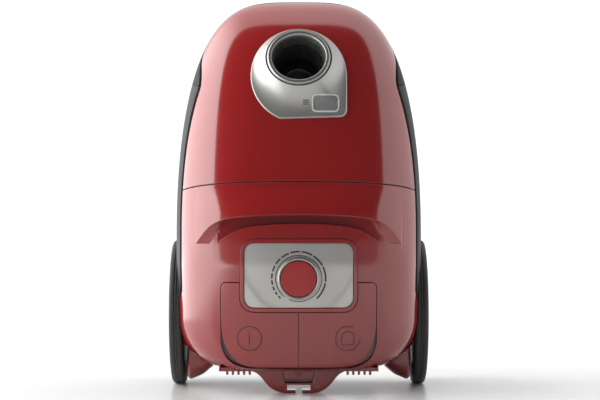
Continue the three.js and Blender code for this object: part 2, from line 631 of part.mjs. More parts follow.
function filterGrille() {
  const wall = GAP + 2.4;
  const top = z0Filter + 12 + GAP;
  let made = box(FILTER.x0 - wall, FILTER.x1 + wall, FILTER.y0 - wall, FILTER.y1 + wall, z0Filter, top + 3);
  made = made.subtract(box(FILTER.x0 - GAP, FILTER.x1 + GAP, FILTER.y0 - GAP, FILTER.y1 + GAP, 0, top));
  const pitch = (FILTER.x1 - FILTER.x0 - 6) / 8;
  for (let i = 0; i < 8; i++) {
    const x = FILTER.x0 + 6 + i * pitch;
    made = made.subtract(box(x, x + pitch - 5, FILTER.y0 + 6, FILTER.y1 - 6, top - 1, top + 5));
  }
  return made;
}

function bagCollar() {
  const plate = box(-45, 45, -45, 45, COLLAR_H - 3, COLLAR_H);
  return alongInlet(plate.subtract(disc(SLEEVE_R - 2, COLLAR_H - 9, COLLAR_H + 9, 32)));
}

function bagHolder() {
  const h = COLLAR_H - 3 - GAP;
  let frame = box(-52, 52, -50, 50, h - 3, h).subtract(box(-40, 40, -40, 60, h - 9, h + 9));
  for (const x of [-52, 45 + GAP]) frame = frame.add(box(x, x + 52 - 45 - GAP, -48, 48, h - 1, h + 6));
  let made = alongInlet(frame);
  for (const x of [-50, 44]) {
    const post = box(x, x + 6, -62, -55, BULKHEAD_Z + 3 + GAP, 302);
    made = made.add(post.subtract(alongInlet(box(-60, 60, -80, 80, h, h + 60))));
  }
  return made;
}

function dustBag() {
  const back = BACK_DEPTH - 24;
  const side = sideSlab([[-46, 246], [-44, 290], [-24, 318], [14, 386], [back, 386], [back, 246]], -FAR, FAR);
  const bossRoom = alongFront(disc(BOSS_R + 3, -FAR, 6 - CASTER_BOSS_IN, 32), 0, 0, CASTER_Z);
  return bodyForm(20, 20).intersect(side).subtract(bossRoom);
}

// ---- Motor, cord reel and brake ----
const atMotor = (s) => s.translate(MOTOR_X, MOTOR_Y, 0);

const fanHousing = () => atMotor(turned([
  [20, BULKHEAD_Z - 3], [20, BULKHEAD_Z - GAP], [FAN_R, BULKHEAD_Z - GAP], [FAN_R, FAN_BASE_Z],
  [MOTOR_R - 8, FAN_BASE_Z], [MOTOR_R - 8, FAN_BASE_Z + 3], [FAN_R - 3, FAN_BASE_Z + 3],
  [FAN_R - 3, BULKHEAD_Z - 3], [20, BULKHEAD_Z - 3],
], 24));

const motorCan = () => atMotor(turned([
  [4 + GAP, MOTOR_BASE_Z], [MOTOR_R - 12, MOTOR_BASE_Z], [MOTOR_R, MOTOR_BASE_Z + 10],
  [MOTOR_R, FAN_BASE_Z - GAP], [4 + GAP, FAN_BASE_Z - GAP], [4 + GAP, MOTOR_BASE_Z],
], 24));

function impeller() {
  let made = disc(4, MOTOR_BASE_Z + 2, FAN_BASE_Z + 30, 20);
  made = made.add(disc(FAN_R - 7, FAN_BASE_Z + 8, FAN_BASE_Z + 10, 24));
  for (let i = 0; i < 8; i++) {
    made = made.add(box(12, FAN_R - 9, -0.8, 0.8, FAN_BASE_Z + 9, FAN_BASE_Z + 26).rotate(0, 0, i * 45));
  }
  return atMotor(made.add(disc(13, FAN_BASE_Z + 8, FAN_BASE_Z + 30, 20)));
}

const motorMount = () => atMotor(ring(12, 26, MOTOR_BASE_Z - 8, MOTOR_BASE_Z - GAP, 32));

function motorBracket() {
  const z1 = MOTOR_BASE_Z - 8 - GAP;
  const plate = box(-120, 0, -50, 62, z1 - 4, z1).intersect(bodyForm(WALL + 1));
  const wells = wheelWells(WELL_R + WALL + 1, WELL_X - WALL - 1);
  return plate.subtract(wells).subtract(disc(14, 0, FAR, 24).translate(MOTOR_X, MOTOR_Y, 0));
}

function cordReel() {
  const t = REEL_HALF_W;
  const bore = AXLE_R + GAP;
  const profile = [
    [bore, -t], [REEL_R, -t], [REEL_R, 2.4 - t], [24, 2.4 - t], [24, t - 2.4], [REEL_R, t - 2.4],
    [REEL_R, t], [bore, t], [bore, -t],
  ];
  return alongFront(turned(profile, 24), REEL_X, 0, REEL_Z);
}

function reelAxle() {
  const back = BACK_DEPTH - WALL - 4;
  const axle = turned([[0, -BACK_DEPTH], [12, -BACK_DEPTH], [12, 3 - back], [AXLE_R, 3 - back],
    [AXLE_R, REEL_HALF_W + 6], [0, REEL_HALF_W + 6]], 24);
  return alongFront(axle, REEL_X, 0, REEL_Z).intersect(bodyForm(WALL + GAP));
}

function brakeArm() {
  const arm = sideSlab([
    [BRAKE_Y - 5, BRAKE_Z - 26], [BRAKE_Y - 1, BRAKE_Z - 27], [BRAKE_Y + 5, BRAKE_Z - 6],
    [-REEL_HALF_W - 1.2, BRAKE_Z - 16], [-REEL_HALF_W - 1.2, BRAKE_Z - 8], [BRAKE_Y + 4, BRAKE_Z + 5],
    [BRAKE_Y - 5, BRAKE_Z + 4],
  ], REEL_X + 6, REEL_X + 12);
  return arm.subtract(alongX(disc(3, 0, FAR, 16), 0, BRAKE_Y, BRAKE_Z));
}

const brakePin = () => alongX(disc(2.6, REEL_X, REEL_X + 18, 16), 0, BRAKE_Y, BRAKE_Z);

// ---- Rear end: cord gland, exhaust filter, vented cover with the tail ----
const cordGland = () => turned([[5, 20], [12, 20], [12, BODY_BOTTOM - GAP], [9, BODY_BOTTOM - GAP],
  [9, 34], [5, 34], [5, 20]], 24).translate(CORD_X, CORD_Y, 0);

function exhaustFilter() {
  const points = [];
  const folds = 14;
  const width = COVER_W - 8;
  for (let i = 0; i <= folds * 2; i++) points.push([-width + (i * width) / folds, i % 2 ? 55 : 48]);
  points.push([width, 36], [-width, 36]);
  const s = shapeOf(points);
  return frontSlab(s, COVER_Y0 + 6, COVER_Y1 - 6);
}

function tailOutline() {
  const s = new THREE.Shape();
  s.moveTo(-3.5, 0);
  s.lineTo(-3.5, 2.7);
  s.lineTo(-12.7, 2.7);
  s.lineTo(-12.7, 9);
  s.lineTo(12.7, 9);
  s.lineTo(12.7, 2.7);
  s.lineTo(3.5, 2.7);
  s.lineTo(3.5, 0);
  s.lineTo(14, 0);
  s.bezierCurveTo(30, 1, 34, 9, 38, 13);
  s.bezierCurveTo(43, 20, 47, 24, 56, COVER_Z0 + 1);
  s.lineTo(-56, COVER_Z0 + 1);
  s.bezierCurveTo(-47, 24, -43, 20, -38, 13);
  s.bezierCurveTo(-34, 9, -30, 1, -14, 0);
  return s;
}

function exhaustCover() {
  const plate = box(-COVER_W, COVER_W, COVER_Y0, COVER_Y1, COVER_Z0, COVER_Z0 + 4.4);
  let made = plate.add(frontSlab(tailOutline(), COVER_Y0, TAIL_Y1));
  for (const side of [-1, 1]) {
    for (let i = 0; i < 5; i++) {
      const x = side * (54 + i * 6.2);
      made = made.add(box(x - 1.4, x + 1.4, COVER_Y0, COVER_Y1 - 8, COVER_Z0 - 4, COVER_Z0 + 1));
      const slot = x + side * 3.1;
      if (i < 4) made = made.subtract(box(slot - 1.7, slot + 1.7, COVER_Y0 + 5, COVER_Y1 - 10, 0, 50));
    }
  }
  return made.subtract(frontSlab(coverLatchOutline(GAP, 3), -FAR, COVER_Y0 + 9));
}

const coverLatchOutline = (grow, drop) => shapeOf([
  [-15.5 - grow, 14.6 - grow - drop], [15.5 + grow, 14.6 - grow - drop],
  [18 + grow + drop * 0.25, COVER_Z0 + 4 + grow], [-18 - grow - drop * 0.25, COVER_Z0 + 4 + grow],
]);
const coverLatch = () => frontSlab(coverLatchOutline(0, 0), COVER_Y0, COVER_Y0 + 9 - GAP);

// ---- Wheels, fairings, caster ----
function fairing(side) {
  const w = WHEEL_IN - 3.4;
  const s = shapeOf([
    [-w, 62], [31 - w, 46], [31 - w, 24], [26 - w, 20.3], [18 - w, 13.5], [3.5 - w, 7.8], [0.2 - w, 11],
  ]);
  const made = frontSlab(s, -24, 54).subtract(bodyForm(-GAP));
  const clear = made.subtract(alongX(disc(AXLE_R + 3, -FAR, FAR, 24), 0, WHEEL_Y, WHEEL_R));
  return side > 0 ? clear.mirror([1, 0, 0]) : clear;
}

const atWheel = (s, side) => {
  const laid = alongX(s).translate(0, WHEEL_Y, WHEEL_R);
  return side > 0 ? laid : laid.mirror([1, 0, 0]);
};
const wheelAxle = (side) => atWheel(turned([[0, WELL_X - WALL - 4.6], [9, WELL_X - WALL - 4.6],
  [9, WELL_X - WALL - GAP], [AXLE_R, WELL_X - WALL - GAP], [AXLE_R, AXLE_END], [0, AXLE_END]], 24), side);
const wheelHub = (side) => atWheel(turned([[AXLE_R + GAP, WHEEL_IN + 1], [30, WHEEL_IN + 1],
  [TYRE_IN - GAP, WHEEL_IN + 2], [TYRE_IN - GAP, WHEEL_IN + WHEEL_W - 1], [48, WHEEL_IN + WHEEL_W + 1.6],
  [19, WHEEL_IN + WHEEL_W + 2.4], [19, AXLE_END + GAP], [AXLE_R + GAP, AXLE_END + GAP],
  [AXLE_R + GAP, WHEEL_IN + 1]], 28), side);
const wheelCap = (side) => atWheel(turned([[0, AXLE_END + GAP * 2], [19 - GAP, AXLE_END + GAP * 2],
  [19 - GAP, WHEEL_IN + WHEEL_W + 2.6], [10, WHEEL_IN + 19.2], [0, WHEEL_IN + 19.6]], 24), side);
const WHEEL_OUT = WHEEL_IN + WHEEL_W;
const tyre = (side) => atWheel(turned([
  [TYRE_IN, WHEEL_IN], [WHEEL_R - 2.5, WHEEL_IN], [WHEEL_R, WHEEL_IN + 2.5], [WHEEL_R, WHEEL_OUT - 2.5],
  [WHEEL_R - 2.5, WHEEL_OUT], [TYRE_IN, WHEEL_OUT], [TYRE_IN, WHEEL_IN],
], 40), side);

const CASTER_WHEEL_Z = CASTER_Z - CASTER_TRAIL;
const CASTER_WHEEL_Y = WHEEL_Y + WHEEL_R - CASTER_R;

function casterFork() {
  const stem = alongFront(disc(6, -CASTER_PLATE_Y - 1, 3 - CASTER_BOSS_IN, 24), 0, 0, CASTER_Z);
  const plate = alongFront(disc(18, -CASTER_PLATE_Y - 4, -CASTER_PLATE_Y, 32), 0, 0, CASTER_Z);
  let made = stem.add(plate);
  for (const x of [-12.6, 9.6]) {
    const cheek = sideSlab([
      [CASTER_PLATE_Y + 2, CASTER_Z + 9], [CASTER_PLATE_Y + 9, CASTER_Z + 6],
      [CASTER_WHEEL_Y + 7, CASTER_WHEEL_Z + 4], [CASTER_WHEEL_Y + 6, CASTER_WHEEL_Z - 6],
      [CASTER_WHEEL_Y - 5, CASTER_WHEEL_Z - 7], [CASTER_PLATE_Y + 2, CASTER_Z - 12],
    ], x, x + 3);
    made = made.add(cheek);
  }
  const bore = alongX(disc(2.2 + GAP * 0.5, -20, 20, 16), 0, CASTER_WHEEL_Y, CASTER_WHEEL_Z);
  return made.subtract(bore);
}
const casterWheel = () => alongX(turned([[2.2 + GAP, -9], [CASTER_R - 2, -9], [CASTER_R, -6],
  [CASTER_R, 6], [CASTER_R - 2, 9], [2.2 + GAP, 9], [2.2 + GAP, -9]], 24), 0, CASTER_WHEEL_Y, CASTER_WHEEL_Z);
const casterAxle = () => alongX(disc(2.2, -13, 13, 16), 0, CASTER_WHEEL_Y, CASTER_WHEEL_Z);

// ---- Screws that hold the rear shell, driven from the underside ----
const SCREWS = [[-104, 194], [104, 194], [-104, 62], [104, 62]];
const screwBoss = ([x, z]) => alongFront(disc(7, -BACK_DEPTH + 3, -54, 20), x, 0, z);
const screwBore = ([x, z]) =>
  alongFront(disc(2.2, -FAR, -40, 16), x, 0, z).add(alongFront(disc(4.8, -FAR, -SCREW_SEAT_Y, 20), x, 0, z));
const screw = ([x, z]) => alongFront(turned([[0, -SCREW_SEAT_Y - 3.4], [4.2, -SCREW_SEAT_Y - 2.6],
  [4.2, -SCREW_SEAT_Y - GAP], [1.8, -SCREW_SEAT_Y - GAP], [1.8, -46], [0, -46]], 16), x, 0, z);

const group = new THREE.Group();
const standard = (color, roughness, metalness) =>
  new THREE.MeshStandardMaterial({ color, roughness, metalness });
const MATERIALS = {
  gloss_red: () => standard(0xb01f24, 0.12, 0),
  knob_red: () => standard(0x7c2e2d, 0.45, 0),
  black_plastic: () => standard(0x1b1b1d, 0.5, 0),
  gloss_grey: () => standard(0x3a3a3d, 0.15, 0),
  brushed_plate: () => standard(0xa8a7a2, 0.35, 0.9),
  satin_silver: () => standard(0xc7c5bf, 0.3, 0.85),
  clear_lens: () => standard(0xe4e4e0, 0.05, 0),
  tyre_rubber: () => standard(0x3f3f3c, 0.8, 0),
  soft_rubber: () => standard(0x161616, 0.75, 0),
  steel: () => standard(0xb8b8b8, 0.3, 1),
  inner_grey: () => standard(0x55565a, 0.55, 0),
  foam: () => standard(0x4a4b50, 0.95, 0),
  filter_paper: () => standard(0xe6e2d8, 0.95, 0),
  bag_cloth: () => standard(0xdedbd2, 0.95, 0),
  signal_red: () => standard(0xc03028, 0.5, 0),
};

function add(name, body, material) {
  const mesh = body.getMesh();
  const g = new THREE.BufferGeometry();
  g.setAttribute("position", new THREE.BufferAttribute(new Float32Array(mesh.vertProperties), 3));
  g.setIndex(new THREE.BufferAttribute(new Uint32Array(mesh.triVerts), 1));
  g.computeVertexNormals();
  const node = new THREE.Mesh(g, MATERIALS[material]());
  node.name = name;
  group.add(node);
}

add("lower_shell", lowerShell(), "black_plastic");
add("rear_shell", rearShell(), "gloss_red");
add("bulkhead", bulkhead(), "inner_grey");
add("filter_grille", filterGrille(), "inner_grey");
add("foam_filter", foamFilter(), "foam");
add("bag_holder", bagHolder(), "inner_grey");
add("bag_collar", bagCollar(), "filter_paper");
add("dust_bag", dustBag(), "bag_cloth");
add("fan_housing", fanHousing(), "black_plastic");
add("motor_can", motorCan(), "steel");
add("motor_mount", motorMount(), "soft_rubber");
add("motor_bracket", motorBracket(), "inner_grey");
add("impeller", impeller(), "steel");
add("cord_reel", cordReel(), "inner_grey");
add("reel_axle", reelAxle(), "steel");
add("brake_arm", brakeArm(), "black_plastic");
add("brake_pin", brakePin(), "steel");
add("cord_gland", cordGland(), "black_plastic");
add("exhaust_filter", exhaustFilter(), "filter_paper");
add("exhaust_cover", exhaustCover(), "gloss_red");
add("cover_latch", coverLatch(), "gloss_red");
add("control_bezel", controlBezel(), "gloss_red");
add("control_plate", controlPlate(), "brushed_plate");
add("knob_ring", knobRing(), "satin_silver");
add("knob_cap", knobCap(), "knob_red");
add("power_switch", powerSwitch(), "black_plastic");
add("lid", lid(), "gloss_red");
add("inlet_surround", inletSurround(), "satin_silver");
add("inlet_ring", inletRing(), "satin_silver");
add("inlet_sleeve", inletSleeve(), "black_plastic");
add("hose_seal", hoseSeal(), "soft_rubber");
add("indicator_lens", indicatorLens(), "clear_lens");
add("indicator_tray", indicatorTray(), "black_plastic");
add("indicator_flag", indicatorFlag(), "signal_red");
add("lid_latch", lidLatch(), "black_plastic");
add("caster_fork", casterFork(), "black_plastic");
add("caster_wheel", casterWheel(), "soft_rubber");
add("caster_axle", casterAxle(), "steel");
SCREWS.forEach((place, i) => add("screw_" + (i + 1), screw(place), "steel"));
for (const [side, name] of [[-1, "left"], [1, "right"]]) {
  add("side_panel_" + name, sidePanel(side), "gloss_grey");
  add("pedal_" + name, pedal(side), "gloss_red");
  add("pedal_spring_" + name, pedalSpring(side), "steel");
  add("hinge_pin_" + name, hingePin(side * HINGE_X), "steel");
  add("fairing_" + name, fairing(side), "gloss_red");
  add("wheel_axle_" + name, wheelAxle(side), "steel");
  add("wheel_hub_" + name, wheelHub(side), "black_plastic");
  add("wheel_cap_" + name, wheelCap(side), "gloss_grey");
  add("tyre_" + name, tyre(side), "tyre_rubber");
}

export default group;
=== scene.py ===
import json
import math

import bmesh
import bpy
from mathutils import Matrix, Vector, noise
from mathutils.bvhtree import BVHTree


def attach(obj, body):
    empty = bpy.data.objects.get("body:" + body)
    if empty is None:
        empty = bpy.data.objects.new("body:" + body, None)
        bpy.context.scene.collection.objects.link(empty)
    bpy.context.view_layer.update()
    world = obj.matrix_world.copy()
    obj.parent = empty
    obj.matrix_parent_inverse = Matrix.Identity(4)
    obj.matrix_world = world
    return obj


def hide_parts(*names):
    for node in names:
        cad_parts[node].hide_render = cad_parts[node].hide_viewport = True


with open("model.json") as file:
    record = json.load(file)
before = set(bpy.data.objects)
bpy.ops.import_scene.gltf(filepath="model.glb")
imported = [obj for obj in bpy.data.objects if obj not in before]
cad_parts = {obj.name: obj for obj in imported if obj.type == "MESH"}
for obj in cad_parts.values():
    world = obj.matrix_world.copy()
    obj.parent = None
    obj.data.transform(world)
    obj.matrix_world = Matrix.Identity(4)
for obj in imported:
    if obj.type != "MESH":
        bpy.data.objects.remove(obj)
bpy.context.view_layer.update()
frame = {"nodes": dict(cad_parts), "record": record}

# ---- Camera, floor and lights ----
# The cleaner stands on a pale glossy floor in front of a white wall, inside a white tent lit harder on the left.
# The tent is open at the front: its opening, with round corners, leaves the middle of the gloss shells dark.
EYE_HEIGHT = 0.213
EYE_DISTANCE = 1.965
TENT_LEFT, TENT_RIGHT, TENT_FRONT = 4.4, 1.35, 0.08
OPENING_HALF_W, OPENING_TOP, OPENING_CORNER = 0.475, 0.66, 3.2
ROOM, BACK_WALL, WALL_TOP = 6, 3, 5
FLOOR_GLOW, WALL_GLOW, LAMP_GLOW = 1.1, 1.15, 3.6
WHITE = (1, 1, 1, 1)
camera = bpy.data.objects.new("camera", bpy.data.cameras.new("camera"))
bpy.context.scene.collection.objects.link(camera)
camera.location = (0.0014, -EYE_DISTANCE, EYE_HEIGHT)
camera.rotation_euler = (math.pi / 2, 0, 0)
camera.data.lens = 103
camera.data.dof.use_dof = False
bpy.context.scene.camera = camera
bpy.context.scene.view_settings.view_transform = "Standard"


def nodes_of(material):
    material.use_nodes = True
    tree = material.node_tree
    tree.nodes.clear()

    def node(kind, inputs=(), **settings):
        made = tree.nodes.new("ShaderNode" + kind)
        for key, value in settings.items():
            setattr(made, key, value)
        for key, value in dict(inputs).items():
            if isinstance(value, bpy.types.NodeSocket):
                tree.links.new(value, made.inputs[key])
            else:
                made.inputs[key].default_value = value
        return made

    return node, tree


def place_light(name, size, at, aim, strength):
    data = bpy.data.lights.new(name, "AREA")
    data.shape = "RECTANGLE"
    data.size, data.size_y = size
    data.energy = strength * math.pi * size[0] * size[1]
    light = bpy.data.objects.new(name, data)
    bpy.context.scene.collection.objects.link(light)
    light.location = at
    light.rotation_euler = (Vector(aim) - Vector(at)).to_track_quat("-Z", "Y").to_euler()
    light.visible_camera = False
    light.visible_glossy = False


place_light("soft_box_left", (2.6, 1.9), (-1.4, 0.4, 0.85), (0, 0.4, 0.85), 1.6)
place_light("soft_box_top", (3.0, 1.9), (0, 0.8, 1.78), (0, 0.8, 0), 1.4)
place_light("fill_left", (0.8, 0.8), (-1.3, -1.5, 0.9), (0, 0, 0.25), 1.8)

world = bpy.data.worlds.new("studio")
bpy.context.scene.world = world
node, tree = nodes_of(world)
way = node("SeparateXYZ", {0: node("TexCoord").outputs["Generated"]}).outputs


def calc(kind, a, b=0.0):
    return node("Math", {0: a, 1: b}, operation=kind).outputs[0]


lean = calc("SQRT", calc("SUBTRACT", 2.0, calc("MULTIPLY", way["Y"], 2.0)))
across = calc("DIVIDE", calc("ABSOLUTE", way["X"]), calc("MULTIPLY", lean, OPENING_HALF_W))
above = calc("DIVIDE", calc("MAXIMUM", way["Z"]), calc("MULTIPLY", lean, OPENING_TOP))
opening = calc("ADD", calc("POWER", across, OPENING_CORNER), calc("POWER", above, OPENING_CORNER))
tent = node("MapRange", {"Value": opening, "From Min": 0.94, "From Max": 1.07}, interpolation_type="SMOOTHSTEP")
lamps = node("MapRange", {"Value": way["X"], "From Min": -0.3, "From Max": -0.8, "To Min": TENT_RIGHT,
                          "To Max": TENT_LEFT}, interpolation_type="SMOOTHSTEP")
behind = node("MapRange", {"Value": way["Y"], "From Min": 0.0, "From Max": 0.95, "To Min": 1.0, "To Max": 0.5})
cloth = calc("MULTIPLY", lamps.outputs["Result"], behind.outputs["Result"])
light = calc("ADD", TENT_FRONT, calc("MULTIPLY", tent.outputs["Result"], cloth))
glow = node("Background", {"Color": WHITE, "Strength": light})
node("OutputWorld", {"Surface": glow.outputs["Background"]})


def link_piece(name, mesh, material=None):
    piece = bpy.data.objects.new(name, mesh)
    bpy.context.scene.collection.objects.link(piece)
    if material:
        mesh.materials.append(material)
    return piece


def stage_plane(name, corners, material, for_camera=False):
    mesh = bpy.data.meshes.new(name)
    mesh.from_pydata(corners, [], [(0, 1, 2, 3)])
    plane = link_piece(name, mesh, material)
    if for_camera:
        plane.visible_glossy = plane.visible_diffuse = plane.visible_transmission = plane.visible_shadow = False
    return plane


def floor_corners(z):
    return [(-ROOM, -ROOM, z), (ROOM, -ROOM, z), (ROOM, BACK_WALL, z), (-ROOM, BACK_WALL, z)]


def wall_corners(y):
    return [(-ROOM, y, 0), (ROOM, y, 0), (ROOM, y, WALL_TOP), (-ROOM, y, WALL_TOP)]


def floor_finish(name, tent_floor):
    look = bpy.data.materials.new(name)
    node, tree = nodes_of(look)
    cloud = node("TexNoise", {"Scale": 3.0, "Detail": 3.0})
    shade = node("MapRange", {"Value": cloud.outputs["Fac"], "To Min": 0.22, "To Max": 0.3})
    gloss = node("BsdfPrincipled", {"Base Color": (0.66, 0.66, 0.66, 1), "Roughness": shade.outputs["Result"]})
    spot = node("TexCoord").outputs["Object"]
    away = node("VectorMath", {0: spot}, operation="LENGTH")
    far = node("MapRange", {"Value": away.outputs["Value"], "From Min": 0.25, "From Max": 0.9})
    glow = node("Emission", {"Color": WHITE, "Strength": FLOOR_GLOW})
    blend = node("MixShader", {0: far.outputs["Result"], 1: gloss.outputs["BSDF"], 2: glow.outputs["Emission"]})
    if tent_floor:
        near = node("SeparateXYZ", {0: spot})
        side = node("Math", {0: near.outputs["X"]}, operation="ABSOLUTE")
        spread = node("Math", {0: side.outputs[0], 1: 0.75, 2: near.outputs["Y"]}, operation="MULTIPLY_ADD")
        before = node("MapRange", {"Value": spread.outputs[0], "From Min": -0.8, "From Max": -0.3})
        lamp_side = node("MapRange", {"Value": near.outputs["X"], "From Min": -0.4, "From Max": -0.9,
                                      "To Min": FLOOR_GLOW, "To Max": LAMP_GLOW}, interpolation_type="SMOOTHSTEP")
        tree.links.new(before.outputs["Result"], far.inputs["To Max"])
        tree.links.new(lamp_side.outputs["Result"], glow.inputs["Strength"])
    node("OutputMaterial", {"Surface": blend.outputs["Shader"]})
    return look


stage_plane("floor", floor_corners(0), floor_finish("floor", False), for_camera=True)
stage_plane("tent_floor", floor_corners(-0.0003), floor_finish("tent_floor", True)).visible_camera = False

wall_look = bpy.data.materials.new("wall")
node, tree = nodes_of(wall_look)
shine = node("Emission", {"Color": WHITE, "Strength": WALL_GLOW})
node("OutputMaterial", {"Surface": shine.outputs["Emission"]})
stage_plane("wall", wall_corners(BACK_WALL), wall_look).visible_glossy = False
stage_plane("front_wall", wall_corners(-ROOM), wall_look, for_camera=True)

# ---- Materials ----
# Injection-moulded gloss ABS in red and grey, textured black polypropylene, satin lacquered silver trim,
# a brushed metal plate, rubber, plated steel, foam, filter paper and non-woven bag cloth.


def finish(slot, colour, rough, metal=0.0, coat=0.0, uneven=0.25, grain=900.0, bump=0.03, stretch=(1, 1, 1),
           peel=0.0, worn=None, edge=0.0, pattern="noise", extra=()):
    look = bpy.data.materials.new(slot)
    node, tree = nodes_of(look)
    place = node("TexCoord").outputs["Object"]
    laid = node("Mapping", {"Vector": place, "Scale": stretch}).outputs["Vector"]
    if pattern == "cells":
        fine = node("TexVoronoi", {"Vector": laid, "Scale": grain}).outputs["Distance"]
    elif pattern == "weave":
        warp = node("TexWave", {"Vector": laid, "Scale": grain, "Distortion": 1.5}).outputs["Fac"]
        weft = node("TexWave", {"Vector": laid, "Scale": grain, "Distortion": 1.5}, bands_direction="Z")
        weft = weft.outputs["Fac"]
        fine = node("Math", {0: warp, 1: weft}, operation="MULTIPLY").outputs[0]
    else:
        fine = node("TexNoise", {"Vector": laid, "Scale": grain, "Detail": 4.0}).outputs["Fac"]
    broad = node("TexNoise", {"Vector": place, "Scale": 14.0, "Detail": 5.0, "Roughness": 0.6}).outputs["Fac"]
    both = node("Math", {0: broad, 1: fine}, operation="ADD").outputs[0]
    rough_map = node("MapRange", {"Value": both, "From Min": 0.6, "From Max": 1.4,
                                  "To Min": rough * (1 - uneven), "To Max": min(1, rough * (1 + uneven))}).outputs[0]
    dark = tuple(c * (1 - 0.35 * uneven) for c in colour) + (1,)
    tint = node("Mix", {"Factor": both, 6: dark, 7: tuple(colour) + (1,)}, data_type="RGBA")
    shaded = tint.outputs[2]
    normal = None
    if edge:
        normal = node("Bevel", {"Radius": edge}, samples=4).outputs["Normal"]
    if worn:
        point = node("NewGeometry").outputs["Pointiness"]
        rub = node("MapRange", {"Value": point, "From Min": 0.53, "From Max": 0.62, "To Max": 0.5}).outputs[0]
        patchy = node("Math", {0: rub, 1: broad}, operation="MULTIPLY").outputs[0]
        shaded = node("Mix", {"Factor": patchy, 6: shaded, 7: tuple(worn) + (1,)}, data_type="RGBA").outputs[2]
    if peel:
        wave = node("TexNoise", {"Vector": place, "Scale": 90.0, "Detail": 1.0}).outputs["Fac"]
        inputs = {"Height": wave, "Strength": peel, "Distance": 0.001}
        if normal:
            inputs["Normal"] = normal
        normal = node("Bump", inputs).outputs["Normal"]
    inputs = {"Height": fine, "Strength": bump, "Distance": 0.0004}
    if normal:
        inputs["Normal"] = normal
    normal = node("Bump", inputs).outputs["Normal"]
    sockets = {"Base Color": shaded, "Roughness": rough_map, "Metallic": metal, "Coat Weight": coat,
               "Coat Roughness": 0.03, "Normal": normal, "Coat Normal": normal}
    sockets.update(dict(extra))
    shader = node("BsdfPrincipled", sockets)
    node("OutputMaterial", {"Surface": shader.outputs["BSDF"]})
    return look


LOOKS = {
    "gloss_red": finish("gloss_red", (0.245, 0.0085, 0.009), 0.16, coat=1.0, grain=2400, bump=0.004, peel=0.012,
                        edge=0.0009, worn=(0.3, 0.05, 0.05)),
    "knob_red": finish("knob_red", (0.32, 0.026, 0.028), 0.42, grain=3000, bump=0.05, edge=0.0005),
    "black_plastic": finish("black_plastic", (0.022, 0.022, 0.024), 0.45, grain=1800, bump=0.35, edge=0.0007,
                            worn=(0.08, 0.08, 0.08), extra={"Specular IOR Level": 0.07}),
    "gloss_grey": finish("gloss_grey", (0.042, 0.042, 0.044), 0.42, grain=2200, bump=0.06, edge=0.0007,
                         extra={"Specular IOR Level": 0.06}),
    "brushed_plate": finish("brushed_plate", (0.50, 0.49, 0.465), 0.36, metal=0.9, grain=900, bump=0.06,
                            stretch=(0.02, 1, 1), edge=0.0004, extra={"Anisotropic": 0.6}),
    "satin_silver": finish("satin_silver", (0.40, 0.395, 0.38), 0.40, metal=0.8, grain=5000, bump=0.03, coat=0.2,
                           edge=0.0006),
    "tyre_rubber": finish("tyre_rubber", (0.035, 0.034, 0.032), 0.62, grain=1500, bump=0.3, edge=0.0008,
                          worn=(0.1, 0.095, 0.09), uneven=0.35),
    "soft_rubber": finish("soft_rubber", (0.018, 0.018, 0.018), 0.7, grain=1200, bump=0.3, edge=0.0006),
    "steel": finish("steel", (0.52, 0.52, 0.53), 0.3, metal=1.0, grain=1200, bump=0.08, stretch=(1, 1, 0.04),
                    edge=0.0004),
    "inner_grey": finish("inner_grey", (0.10, 0.10, 0.108), 0.5, grain=1600, bump=0.25, edge=0.0006),
    "foam": finish("foam", (0.06, 0.06, 0.068), 0.95, grain=700, bump=0.9, pattern="cells"),
    "filter_paper": finish("filter_paper", (0.72, 0.70, 0.64), 0.95, grain=1400, bump=0.4, stretch=(1, 1, 0.2)),
    "bag_cloth": finish("bag_cloth", (0.62, 0.60, 0.55), 0.92, grain=420, bump=0.35, pattern="weave"),
    "signal_red": finish("signal_red", (0.5, 0.03, 0.02), 0.45, grain=1800, bump=0.1, edge=0.0004),
    "clear_lens": finish("clear_lens", (0.42, 0.42, 0.41), 0.08, grain=2000, bump=0.01, coat=1.0, edge=0.0005,
                         extra={"Alpha": 0.28}),
}
window_pale = finish("window_pale", (0.62, 0.62, 0.61), 0.3, grain=2400, bump=0.03)
ink_dark = finish("ink_dark", (0.035, 0.033, 0.03), 0.5, grain=3000, bump=0.05)
ink_wine = finish("ink_wine", (0.05, 0.004, 0.004), 0.45, grain=3000, bump=0.05)
ring_metal = finish("ring_metal", (0.26, 0.26, 0.25), 0.25, metal=0.8, grain=4000, bump=0.03, coat=0.5, edge=0.0006)
for row in frame["record"]["subparts"]:
    mesh = frame["nodes"][row["node"]].data
    mesh.materials.clear()
    mesh.materials.append(LOOKS[row["material_slot"]])

# ---- Body form ----
# One superellipse section at every height, in millimetres, the same form that the shells are moulded to.
# Every red or grey shell below is cut out of it, so their surfaces run on through each seam.


BODY_HALF_W, BODY_TOP, BODY_BOTTOM = 139, 439, 26
FRONT_DEPTH, BACK_DEPTH = 108, 84
HOOD_OUT, HOOD_TOP, HOOD_LIP = 13, 227.5, 197
SHELL = 2.6
FAR = 200


def fall(t, p, q):
    return max(0.0, 1 - max(0.0, t) ** p) ** (1 / q)


def corner_loss(z, bottom, r):
    return r - math.sqrt(max(0.0, r * r - (bottom + r - z) ** 2)) if z < bottom + r else 0.0


def half_width(z, inset=0.0):
    full = (BODY_HALF_W - inset) * fall((z - 170) / (BODY_TOP - 170 - inset), 2.2, 3.6)
    return full - corner_loss(z, BODY_BOTTOM + inset, 56)


def front_depth(z, inset=0.0):
    lean = max(0.0, 142 - z) * 0.08
    full = (FRONT_DEPTH - inset) * fall((z - 190) / (BODY_TOP - 190 - inset), 2, 2)
    return full - lean - corner_loss(z, BODY_BOTTOM + inset, 10)


